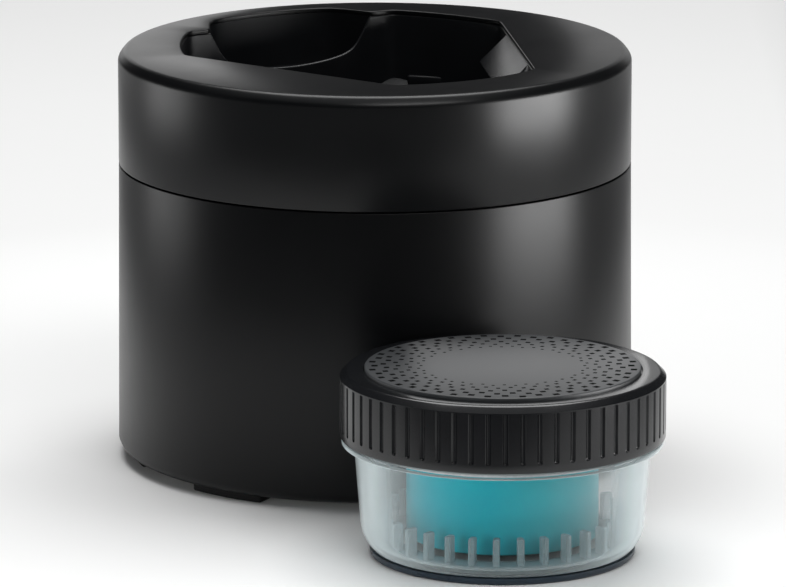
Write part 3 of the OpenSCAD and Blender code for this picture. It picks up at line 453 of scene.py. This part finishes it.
# the recess in the top
recess = {"pocketR": 46.5, "sideD": 34.7, "sideAngle": 23.4, "notchR": 54.0, "notchHalf": 23.3,
          "notchLean": 28.0, "notchDepth": 13.8, "lipDepth": 11.6, "lipTopHalf": 22.9,
          "lipSlope": 0.54, "lipBow": 160.0, "lipSharp": 5.0, "lipT": 1.2, "wall": 1.8, "cornerSharp": 90.0,
          "shoulderR": 80.0, "shoulderAt": 20.0, "backY": 41.3, "shoulderSharp": 60.0,
          "notchSharp": 42.0, "joinSharp": 110.0, "notchSpan": 42}
top = {"height": 100.0, "outerR": 62.0, "bevelW": 1.6, "bevelH": 2.0, "low": 72.7, "innerR": 59.6,
       "plateT": 2.4, "rimT": 1.0, "edgeRound": 0.28}
rimZ = top["height"] - top["rimT"] - 0.1
# posts that take the holder's screws
posts = {"angles": (45, 135, 252, 288), "at": 53.2, "boreR": 1.53, "outerR": 3.2, "low": 84.0}


def pocketR(a):
    # radius of the pocket's wall at an angle
    r = recess["pocketR"]
    rise = degrees(a) if degrees(a) < 90 else 180 - degrees(a)
    if rise > recess["shoulderAt"]:
        # a flatter arc runs out to a corner, and a flat wall joins the two corners
        big = recess["shoulderR"] - r
        k = big * cos(radians(rise - recess["shoulderAt"]))
        arc = sqrt(k * k - big * big + recess["shoulderR"] ** 2) - k
        r = nearestOf(arc, recess["backY"] / sin(radians(rise)), recess["shoulderSharp"])
    for side in (-recess["sideAngle"], 180 + recess["sideAngle"]):
        facing = cos(a - radians(side))
        if facing > 0.1:
            r = nearestOf(r, recess["sideD"] / facing, recess["cornerSharp"])
    return r


def notchR(a):
    # radius of the notch's wall at an angle: an arc with two leaning ends
    yPocket = sqrt(recess["pocketR"] ** 2 - recess["notchHalf"] ** 2)
    lean = radians(recess["notchLean"])
    reach = recess["notchHalf"] * cos(lean) + yPocket * sin(lean)
    r = recess["notchR"]
    for side in (lean, pi - lean):
        facing = cos(a - side)
        if facing > 0.1:
            r = nearestOf(r, reach / facing, recess["notchSharp"])
    return r


def inNotch(a):
    return abs(degrees(a) - 90) < recess["notchSpan"]


def recessR(a):
    return farthestOf(pocketR(a), notchR(a), recess["joinSharp"]) if inNotch(a) else pocketR(a)


def lipTop(a):
    # height of the pocket wall's top edge at an angle
    x = abs(pocketR(a) * cos(a))
    if not inNotch(a) or x >= recess["lipTopHalf"] - 0.3:
        return rimZ
    side = (recess["lipTopHalf"] - x) / recess["lipSlope"]
    bottom = recess["lipDepth"] - x * x / recess["lipBow"]
    return min(rimZ, top["height"] - nearestOf(side, bottom, recess["lipSharp"]))


def makeTop():
    outer, inner = top["outerR"], top["innerR"]
    high, under = top["height"], top["height"] - top["plateT"]
    back = recess["wall"] + 0.15
    bm, loops = loopedForm(720, [
        lambda a: (recessR(a), high - top["rimT"]),
        lambda a: (recessR(a), high),
        lambda a: (outer - top["bevelW"], high),
        lambda a: (outer, high - top["bevelH"]),
        lambda a: (outer, top["low"]),
        lambda a: (inner, top["low"]),
        lambda a: (inner, under),
        lambda a: (recessR(a) + back, under),
        lambda a: (recessR(a) + back, high - top["rimT"]),
    ])
    roundEdges(bm, loops[1], top["edgeRound"], 3)
    roundEdges(bm, loops[2] + loops[3], 0.7, 3)
    roundEdges(bm, loops[4], 0.2, 2)
    post = [(posts["boreR"], posts["low"], 0), (posts["outerR"], posts["low"], 0.2),
            (posts["outerR"], under + 0.2, 0), (posts["boreR"], under + 0.2, 0)]
    for angle in posts["angles"]:
        joinIn(bm, turned(post, 32, centre=(posts["at"], 0)), angle)
    return finishPiece(bm, "topCover", [topBlack], "top", "top_cover")


holder = {"under": 73.5, "floor": 75.5, "funnelR": 42.5, "headR": 14.5, "headD": 15.5,
          "lipRound": 0.42, "earLow": 81.5, "earHigh": 84.0, "earIn": 47.4, "earOut": 56.5, "earHalf": 4.5,
          "tubFrom": 60.4, "tubTo": 119.6, "tubSteps": 150, "tubWall": 1.6, "tubUnder": 1.8,
          "bossR": 4.2, "bossTop": 86.0, "boreR": 2.28, "cupR": 3.55, "cupDeep": 1.6, "pinY": -42.9}


def headsR(a):
    # outline of the three head openings, from the axis
    off = min(abs((degrees(a) - s + 180) % 360 - 180) for s in (30, 150, 270))
    d, r = holder["headD"], holder["headR"]
    return d * cos(radians(off)) + sqrt(r * r - (d * sin(radians(off))) ** 2)


def makeHolder():
    floorZ, under = holder["floor"], holder["under"]
    lipT, notchFloor = recess["lipT"], top["height"] - recess["notchDepth"]
    bm, loops = loopedForm(720, [
        lambda a: (pocketR(a), lipTop(a)),
        lambda a: (pocketR(a) + lipT, lipTop(a)),
        lambda a: (pocketR(a) + lipT, notchFloor - 1.5),
        lambda a: (pocketR(a) + recess["wall"], notchFloor - 2.0),
        lambda a: (pocketR(a) + recess["wall"], under),
        lambda a: (headsR(a), under),
        lambda a: (headsR(a), floorZ),
        lambda a: (min(holder["funnelR"], pocketR(a) - 0.5), floorZ),
        lambda a: (pocketR(a), floorZ + max(0.6, pocketR(a) - holder["funnelR"])),
    ])
    roundEdges(bm, loops[0] + loops[1], holder["lipRound"], 4)
    roundEdges(bm, loops[6], 0.5, 3)
    # tub of the notch, with its ends in the pocket's wall
    tub = bmesh.new()
    start, stop, steps = radians(holder["tubFrom"]), radians(holder["tubTo"]), holder["tubSteps"]
    tubUnder = notchFloor - holder["tubUnder"]
    verts = [tub.verts.new((i / steps, 0, 0)) for i in range(steps + 1)]
    current = [tub.edges.new(pair) for pair in zip(verts, verts[1:])]

    def near(a):
        return pocketR(a) + 0.5

    def far(a):
        return max(notchR(a), near(a))

    outline = [lambda a: (near(a), notchFloor), lambda a: (far(a), notchFloor),
               lambda a: (far(a), rimZ), lambda a: (far(a) + holder["tubWall"], rimZ),
               lambda a: (far(a) + holder["tubWall"], tubUnder), lambda a: (near(a), tubUnder)]
    angles = {v: start + (stop - start) * v.co.x for v in verts}
    rings = []
    for number, line in enumerate(outline):
        if number:
            fresh = bmesh.ops.extrude_edge_only(tub, edges=current)["geom"]
            current = only(bmesh.types.BMEdge, fresh)
            source = {v: min(angles, key=lambda o: (o.co - v.co).length)
                      for v in only(bmesh.types.BMVert, fresh)}
            angles = {v: angles[o] for v, o in source.items()}
        for v, a in angles.items():
            r, z = line(a)
            v.co = (r * cos(a), r * sin(a), z)
        rings.append([e for e in current if all(v in angles for v in e.verts)])
    bmesh.ops.bridge_loops(tub, edges=rings[0] + rings[-1])
    bmesh.ops.holes_fill(tub, edges=[e for e in tub.edges if e.is_boundary], sides=0)
    roundEdges(tub, rings[1], 1.5, 4)
    joinIn(bm, tub)
    # guide boss of the start pin
    bossR, boreR, cupR, bossTop = holder["bossR"], holder["boreR"], holder["cupR"], holder["bossTop"]
    cupFloor = bossTop - holder["cupDeep"]
    joinIn(bm, turned([(boreR, floorZ - 0.5, 0), (bossR, floorZ - 0.5, 0), (bossR, bossTop, 0.4),
                       (cupR, bossTop, 0.1), (cupR, cupFloor, 0), (boreR, cupFloor, 0)],
                      48, centre=(0, holder["pinY"])))
    # ears under the posts
    for angle in posts["angles"]:
        joinIn(bm, roundedBlock((holder["earIn"], -holder["earHalf"], holder["earLow"]),
                                (holder["earOut"], holder["earHalf"], holder["earHigh"]), 0.5), angle)
    return finishPiece(bm, "shaverHolder", [pocketBlack], "top", "shaver_holder")


guide = {"reach": 6.9, "drop": 7.0, "lip": 0.8, "length": 38.0, "foot": 4.0, "round": 0.45}


def makeGuides():
    whole = bmesh.new()
    for side in (1, -1):
        bm = bmesh.new()
        reach, low = guide["reach"], rimZ - guide["drop"]
        section = [(0, rimZ), (reach, low), (reach - 0.6, low - guide["lip"]), (0, low - guide["foot"])]
        verts = [bm.verts.new((0.0, -r, z)) for r, z in section]
        for pair in zip(verts, verts[1:] + verts[:1]):
            bm.edges.new(pair)
        for v, amount in ((verts[1], guide["round"]), (verts[2], 0.3), (verts[0], 0.3)):
            roundCorners(bm, [v], amount, 3)
        # a rounded end, the straight run and the other end
        half = guide["length"] / 2
        quarter = {"axis": (0, 0, 1), "dvec": (0, 0, 0), "angle": radians(-90), "steps": 14,
                   "use_merge": False}
        bmesh.ops.translate(bm, verts=bm.verts, vec=(half, 0, 0))
        turnZ(bm, bm.verts, 90, (half, 0, 0))
        spun = bmesh.ops.spin(bm, geom=bm.verts[:] + bm.edges[:], cent=(half, 0, 0), **quarter)["geom_last"]
        run = bmesh.ops.extrude_edge_only(bm, edges=only(bmesh.types.BMEdge, spun))["geom"]
        bmesh.ops.translate(bm, verts=only(bmesh.types.BMVert, run), vec=(-guide["length"], 0, 0))
        run = only((bmesh.types.BMVert, bmesh.types.BMEdge), run)
        bmesh.ops.spin(bm, geom=run, cent=(-half, 0, 0), **quarter)
        bmesh.ops.remove_doubles(bm, verts=bm.verts, dist=0.002)
        bmesh.ops.holes_fill(bm, edges=[e for e in bm.edges if e.is_boundary], sides=0)
        # onto the straight side of the pocket
        bmesh.ops.translate(bm, verts=bm.verts, vec=(0, recess["sideD"] + 0.05, 0))
        turnZ(bm, bm.verts, -90 - recess["sideAngle"])
        if side < 0:
            bmesh.ops.scale(bm, vec=(-1, 1, 1), verts=bm.verts)
            bmesh.ops.reverse_faces(bm, faces=bm.faces)
        joinIn(whole, bm)
    return finishPiece(whole, "sideGuides", [guideBlack], "top", "side_guides", 28)


makeTop()
makeHolder()
makeGuides()


# the base
base = {"outerR": 62.0, "footR": 62.5, "innerR": 59.6, "low": 2.0, "rim": 72.3, "round": 2.5,
        "leanTall": 68,  # the foot's extra radius fades over this height below the rim
        "lugIn": 51.0, "lugOut": 60.0, "lugHalf": 3.4, "lugLow": 51.0, "lugHigh": 54.0,
        "bossAt": 56.4, "bossR": 3.4, "bossLow": 4.4, "bossHigh": 16.4}
button = {"height": 56.0, "width": 16.0, "tall": 9.0, "gap": 0.3, "out": 0.3, "faceBack": 56.5,
          "flangeY": 58.4, "flangeT": 2, "flangeGrow": 2, "flangeR": 59.3,
          "armHalf": 5, "armY": 51.3, "armBack": 53.1, "armTop": 75.5, "stemHalf": 3.5, "stemBack": 57.0,
          "hookFrom": 53.0, "hookY": 54.5, "hookLow": 73.3}


def capsule(grow):
    # outline of the button's face, larger by grow, upright in the plane y = 0
    bm = bmesh.new()
    bmesh.ops.create_circle(bm, segments=80, radius=button["tall"] / 2 + grow, cap_ends=False)
    bmesh.ops.rotate(bm, verts=bm.verts, cent=(0, 0, 0), matrix=Matrix.Rotation(radians(90), 3, "X"))
    half = (button["width"] - button["tall"]) / 2
    for v in bm.verts:
        v.co.x += half if v.co.x > 0.01 else -half if v.co.x < -0.01 else 0
    bmesh.ops.translate(bm, verts=bm.verts, vec=(0, 0, button["height"]))
    return bm


def makeBase():
    footR, footLow, innerR = base["footR"], base["low"], base["innerR"]
    bm = turned([(innerR, footLow, 0), (footR - base["round"], footLow, 0),
                 (footR - 0.73, footLow + 0.73, 1.0), (footR, footLow + base["round"], 0),
                 (base["outerR"], base["rim"], 0.16), (innerR, base["rim"], 0)], 256)
    # opening for the release button
    mid, reach, rise = button["height"], button["width"] / 2 + 4, button["tall"] / 2 + 3.5
    cuts = [((x, 0, 0), (1, 0, 0)) for x in (-reach, reach)]
    cuts += [((0, 0, mid + z), (0, 0, 1)) for z in (-rise, -rise / 2, 0, rise / 2, rise)]
    for point, normal in cuts:
        near = [f for f in bm.faces if f.calc_center_median().y > 50 and abs(f.calc_center_median().x) < 25]
        geom = near + list({e for f in near for e in f.edges}) + list({v for f in near for v in f.verts})
        bmesh.ops.bisect_plane(bm, geom=geom, dist=0.0005, plane_co=point, plane_no=normal)
    for radius in (base["outerR"], base["innerR"]):
        patch = [f for f in bm.faces if f.calc_center_median().y > 50
                 and abs(f.calc_center_median().x) < reach and abs(f.calc_center_median().z - mid) < rise
                 and abs(hypot(*f.calc_center_median().xy) - radius) < 1.2]
        bmesh.ops.delete(bm, geom=patch, context="FACES")
    skins = {}
    for key, radius in (("out", base["outerR"]), ("in", base["innerR"])):
        ring = capsule(button["gap"])
        for v in ring.verts:
            drop = (base["rim"] - v.co.z) / base["leanTall"]
            lean = (base["footR"] - base["outerR"]) * drop if key == "out" else 0
            v.co.y = sqrt((radius + lean) ** 2 - v.co.x ** 2)
        before = set(bm.edges)
        joinIn(bm, ring)
        skins[key] = [e for e in bm.edges if e not in before]
        edge = [e for e in before if e.is_valid and e.is_boundary
                and abs(hypot(*((e.verts[0].co + e.verts[1].co) / 2).xy) - radius) < 1.2]
        bmesh.ops.bridge_loops(bm, edges=edge + skins[key])
    bmesh.ops.bridge_loops(bm, edges=skins["out"] + skins["in"])
    # lugs for the well, and bosses for the bottom screws
    for angle in (45, 135, 225, 315):
        joinIn(bm, roundedBlock((base["lugIn"], -base["lugHalf"], base["lugLow"]),
                                (base["lugOut"], base["lugHalf"], base["lugHigh"]), 0.4), angle)
    bossR, low, high = base["bossR"], base["bossLow"], base["bossHigh"]
    for angle in (0, 90, 180, 270):
        joinIn(bm, turned([(0, low, 0), (bossR, low, 0), (bossR, high, 0.4), (0, high, 0)],
                          32, centre=(base["bossAt"], 0)), angle)
    return finishPiece(bm, "baseShell", [shellBlack], "base", "base_shell")


def makeButton():
    # face with a rounded edge, flange behind the wall, and the latch arm
    bm = capsule(0)
    bmesh.ops.contextual_create(bm, geom=bm.edges[:])
    face = only(bmesh.types.BMFace, bmesh.ops.extrude_face_region(bm, geom=bm.faces[:])["geom"])
    faceVerts = {v for f in face for v in f.verts}
    for v in bm.verts:
        curve = sqrt((base["outerR"] + button["out"]) ** 2 - v.co.x ** 2)
        v.co.y = curve if v in faceVerts else button["faceBack"]
    rim = {e for f in face for e in f.edges}
    bmesh.ops.inset_region(bm, faces=face, thickness=0.9, depth=0)
    roundEdges(bm, [e for e in rim if e.is_valid], 0.45, 4)
    flange = capsule(button["flangeGrow"])
    bmesh.ops.contextual_create(flange, geom=flange.edges[:])
    grown = bmesh.ops.extrude_face_region(flange, geom=flange.faces[:])["geom"]
    deep = set(only(bmesh.types.BMVert, grown))
    for v in flange.verts:
        limit = sqrt(button["flangeR"] ** 2 - v.co.x ** 2)
        v.co.y = min(button["flangeY"], limit) if v in deep else button["flangeY"] - button["flangeT"]
    joinIn(bm, flange)
    half, armY, armTop = button["armHalf"], button["armY"], button["armTop"]
    low, high = button["height"] - button["stemHalf"], button["height"] + button["stemHalf"]
    joinIn(bm, roundedBlock((-half, armY, low), (half, button["stemBack"], high), 0.3))
    joinIn(bm, roundedBlock((-half, armY, low), (half, button["armBack"], armTop), 0.3))
    joinIn(bm, roundedBlock((-half, button["hookFrom"], button["hookLow"]),
                            (half, button["hookY"], armTop), 0.3))
    return finishPiece(bm, "releaseButton", [buttonBlack], "release", "release_button")


# half is half the foot's arc in degrees
feet = {"count": 8, "innerR": 53.4, "outerR": 59.0, "high": 2.8, "half": 10}


def makeFeet():
    def atEnd(v):
        return abs(abs(degrees(atan2(v.co.y, v.co.x))) - feet["half"]) < 0.02

    whole = bmesh.new()
    near, far, high, half = feet["innerR"], feet["outerR"], feet["high"], feet["half"]
    for i in range(feet["count"]):
        foot = turned([(near, 0, 0.5), (far, 0, 0.5), (far, high, 0), (near, high, 0)],
                      12, 2 * half, start=-half)
        ends = [e for e in foot.edges if e.calc_length() > 0 and all(atEnd(v) for v in e.verts)
                and min(v.co.z for v in e.verts) < high - 0.1
                and (e.verts[0].co.y > 0) == (e.verts[1].co.y > 0)]
        roundEdges(foot, ends, 0.4, 2)
        joinIn(whole, foot, -90 + 360 / feet["count"] * (i + 0.5))
    return finishPiece(whole, "rubberFeet", [footRubber], "base", "rubber_feet")


makeBase()
makeButton()
makeFeet()


# the cartridge
standAt = (-22.915, -98.469)
cap = {"outerR": 37.6, "low": 27.8, "high": 43.4, "bevel": 1.5, "innerR": 35.7, "ceiling": 42.35,
       "grooves": 60, "grooveHalf": 0.52, "grooveDepth": 0.5, "grooveLow": 29.8, "grooveHigh": 41.6,
       "discR": 31.9, "discTop": 44.15, "discLow": 42.9,
       "lugIn": 34.0, "lugOut": 36.0, "lugLow": 30.7, "lugHigh": 32.3, "lugArc": 14}


def onStand(bm):
    # moves a piece made round +Z to where the cartridge stands
    bmesh.ops.translate(bm, verts=bm.verts, vec=(*standAt, 0))


def grooveCut(offset, z):
    # how deep the groove is at a distance from its middle line
    half = cap["grooveHalf"]
    below = max(0, cap["grooveLow"] + half - z)
    away = hypot(offset, below) / half
    return cap["grooveDepth"] * sqrt(1 - away * away) if away < 1 and z < cap["grooveHigh"] else 0


def makeCap():
    low, inner, outer = cap["grooveLow"], cap["innerR"], cap["outerR"]
    shoulder = cap["high"] - cap["bevel"]
    rowZ = [low + step for step in (0, 0.06, 0.15, 0.28, 0.42, 0.56)]  # close rows where the grooves end
    rowZ += [35.0, cap["grooveHigh"] - 0.04, cap["grooveHigh"] + 0.02, shoulder - 0.02, shoulder + 0.02]
    bm = turned([(inner, cap["low"], 0.25), (outer, cap["low"], 0.5), *[(outer, z, 0) for z in rowZ],
                 (outer - cap["bevel"], cap["high"], 0.5), (cap["discR"] + 0.25, cap["high"], 0.12),
                 (cap["discR"] + 0.15, cap["discLow"], 0), (inner, cap["discLow"], 0)], 1440)
    pitch = 2 * pi / cap["grooves"]
    for v in bm.verts:
        r, a = hypot(v.co.x, v.co.y), atan2(v.co.y, v.co.x)
        if r > outer - 0.01 and v.co.z > low - 0.05:
            off = (a / pitch - round(a / pitch)) * pitch * r
            cut = grooveCut(off, v.co.z)
            v.co.x, v.co.y = v.co.x * (r - cut) / r, v.co.y * (r - cut) / r
    joinIn(bm, turned([(0, cap["ceiling"], 0), (inner + 0.3, cap["ceiling"], 0),
                       (inner + 0.3, cap["discLow"] + 0.001, 0), (0, cap["discLow"] + 0.001, 0)], 96))
    lugIn, lugOut, lugLow, lugHigh = cap["lugIn"], cap["lugOut"], cap["lugLow"], cap["lugHigh"]
    for start in (0, 120, 240):
        joinIn(bm, turned([(lugIn, lugLow, 0.2), (lugOut, lugLow, 0), (lugOut, lugHigh, 0),
                           (lugIn, lugHigh, 0.2)], 12, cap["lugArc"], start=start))
    onStand(bm)
    return finishPiece(bm, "capShell", [capCharcoal], "cap", "cap_shell", 26)


dots = {"count": 48, "shift": 0.75, "deep": 0.35,
        # each ring's radius, and its dots' sizes across and along the radius
        "rings": [(29.9, 1.5, 1.45), (27.2, 1.3, 1.25), (24.5, 1.1, 1.05), (21.8, 0.9, 0.85),
                  (19.2, 0.7, 0.65)]}


def makeDisc():
    radius, low, high = cap["discR"], cap["discLow"], cap["discTop"]
    bm = turned([(0, low, 0), (radius, low, 0), (radius, high, 0.35), (0, high, 0)], 192)
    onStand(bm)
    pits = bmesh.new()
    for number, (radius, wide, tall) in enumerate(dots["rings"]):
        for i in range(dots["count"]):
            pit = roundedBlock((radius - tall / 2, -wide / 2, high - dots["deep"]),
                               (radius + tall / 2, wide / 2, high + 0.012), 0)
            bmesh.ops.translate(pit, verts=pit.verts, vec=(dots["shift"] * (0.5 if i % 2 else -0.5), 0, 0))
            joinIn(pits, pit, 360 / dots["count"] * (i + 0.5 * (number % 2)))
    onStand(pits)
    # the pits' faces carry the painted shade
    for f in pits.faces:
        f.material_index = 1
    joinIn(bm, pits)
    return finishPiece(bm, "capDisc", [discCharcoal, paintedPitShade], "cap", "cap_disc")


bowl = {"flangeR": 37.2, "flangeLow": 26.2, "flangeHigh": 27.5, "neckR": 33.5, "neckTop": 41.0,
        "topR": 34.3, "footR": 32.6, "low": 1.6, "wall": 1.6, "floor": 3.2,
        "threadIn": 33.2, "threadOut": 35.0, "threadLow": 32.7, "threadHigh": 34.2, "threadSlope": 0.3,
        "threadArc": 95, "threadRise": 3.8}


def makeBowl():
    footR, topR, flangeR, neckR = bowl["footR"], bowl["topR"], bowl["flangeR"], bowl["neckR"]
    low, floorZ, neckTop = bowl["low"], bowl["floor"], bowl["neckTop"]
    flangeLow, flangeHigh = bowl["flangeLow"], bowl["flangeHigh"]
    neckIn, footIn = neckR - bowl["wall"], footR - bowl["wall"]
    bm = turned([(0, low, 0), (footR - 2.6, low, 0.8), (footR, low + 3.2, 2.4), (topR, flangeLow, 0.5),
                 (flangeR, flangeLow, 0.4), (flangeR, flangeHigh, 0.4), (neckR, flangeHigh, 0.3),
                 (neckR, neckTop, 0.4), (neckIn, neckTop, 0.4), (neckIn, flangeLow, 0.6),
                 (footIn, floorZ + 1.0, 0.8), (footIn - 1, floorZ, 0.4), (0, floorZ, 0)], 192)
    near, far, slope = bowl["threadIn"], bowl["threadOut"], bowl["threadSlope"]
    threadLow, threadHigh = bowl["threadLow"], bowl["threadHigh"]
    thread = [(near, threadLow, 0), (far, threadLow + slope, 0.3), (far, threadHigh - slope, 0.3),
              (near, threadHigh, 0)]
    for start in (-2, 118, 238):
        joinIn(bm, turned(thread, 60, bowl["threadArc"], rise=bowl["threadRise"], start=start))
    onStand(bm)
    return finishPiece(bm, "cartridgeBowl", [bowlClear], "cartridge", "cartridge_bowl")


baseRing = {"innerR": 26.6, "outerR": 30.7, "high": 1.6}


def makeBaseRing():
    inner, outer, high = baseRing["innerR"], baseRing["outerR"], baseRing["high"]
    bm = turned([(inner, 0, 0.4), (outer, 0, 0.9), (outer, high, 0), (inner, high, 0)], 192)
    onStand(bm)
    return finishPiece(bm, "baseRing", [ringNavy], "cartridge", "base_ring")


fins = {"count": 32, "half": 0.8, "innerR": 26.8, "outerR": 29.5, "low": 3.9, "high": 10.45,
        "ringIn": 24.1, "ringOut": 29.8, "ringLow": 3.25, "ringHigh": 4.05}


def makeFins():
    near, far, low, high = fins["ringIn"], fins["ringOut"], fins["ringLow"], fins["ringHigh"]
    bm = turned([(near, low, 0), (far, low, 0), (far, high, 0.2), (near, high, 0.2)], 128)
    for i in range(fins["count"]):
        fin = roundedBlock((fins["innerR"], -fins["half"], fins["low"]),
                           (fins["outerR"], fins["half"], fins["high"]), 0.4)
        joinIn(bm, fin, 360 / fins["count"] * i)
    onStand(bm)
    return finishPiece(bm, "flowRing", [finClear], "cartridge", "flow_ring")


cup = {"outerR": 23.7, "innerR": 22.4, "low": 3.25, "high": 25.5, "floor": 4.55,
       "axleR": 1.0, "axleLow": 4.5, "axleHigh": 12.5}


def makeCup():
    outer, inner, low, high, floorZ = cup["outerR"], cup["innerR"], cup["low"], cup["high"], cup["floor"]
    bm = turned([(0, low, 0), (outer, low, 0.8), (outer, high, 0.3), (inner, high, 0.3),
                 (inner, floorZ, 0.5), (0, floorZ, 0)], 128)
    joinIn(bm, turned([(0, cup["axleLow"], 0), (cup["axleR"], cup["axleLow"], 0),
                       (cup["axleR"], cup["axleHigh"], 0.2), (0, cup["axleHigh"], 0)], 24))
    onStand(bm)
    return finishPiece(bm, "innerCup", [cupClear], "cartridge", "inner_cup")


# the filling stands round the pump below pumpTop and round its stem above it
fluid = {"outerR": 22.2, "low": 4.75, "high": 25.0, "pumpR": 12.3, "pumpTop": 15.45, "stemR": 3.5}


def makeFluid():
    outer, low, high = fluid["outerR"], fluid["low"], fluid["high"]
    pumpR, pumpTop, stemR = fluid["pumpR"], fluid["pumpTop"], fluid["stemR"]
    bm = turned([(pumpR, low, 0.2), (outer, low, 0.5), (outer, high, 0.3), (stemR, high, 0.1),
                 (stemR, pumpTop, 0.1), (pumpR, pumpTop, 0.2)], 128)
    onStand(bm)
    return finishPiece(bm, "cleaningFluid", [fluidTeal()], "cartridge", "cleaning_fluid")


makeCap()
makeDisc()
makeBowl()
makeBaseRing()
makeFins()
makeCup()
makeFluid()

# each spring's joint, axis, anchor and keep value are listed; here each spring only gets a mesh of its own
springs = {
    "latch_spring": {"joint": "release_press", "axis": (0, 1, 0), "anchor": (0, 0.04405, 0.056),
                     "keep": 0.648},
    "pin_spring": {"joint": "start_press", "axis": (0, 0, 1), "anchor": (0, -0.0429, 0.07804),
                   "keep": 0.798},
}
for nodeName, spring in springs.items():
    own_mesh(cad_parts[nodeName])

print("springs done")
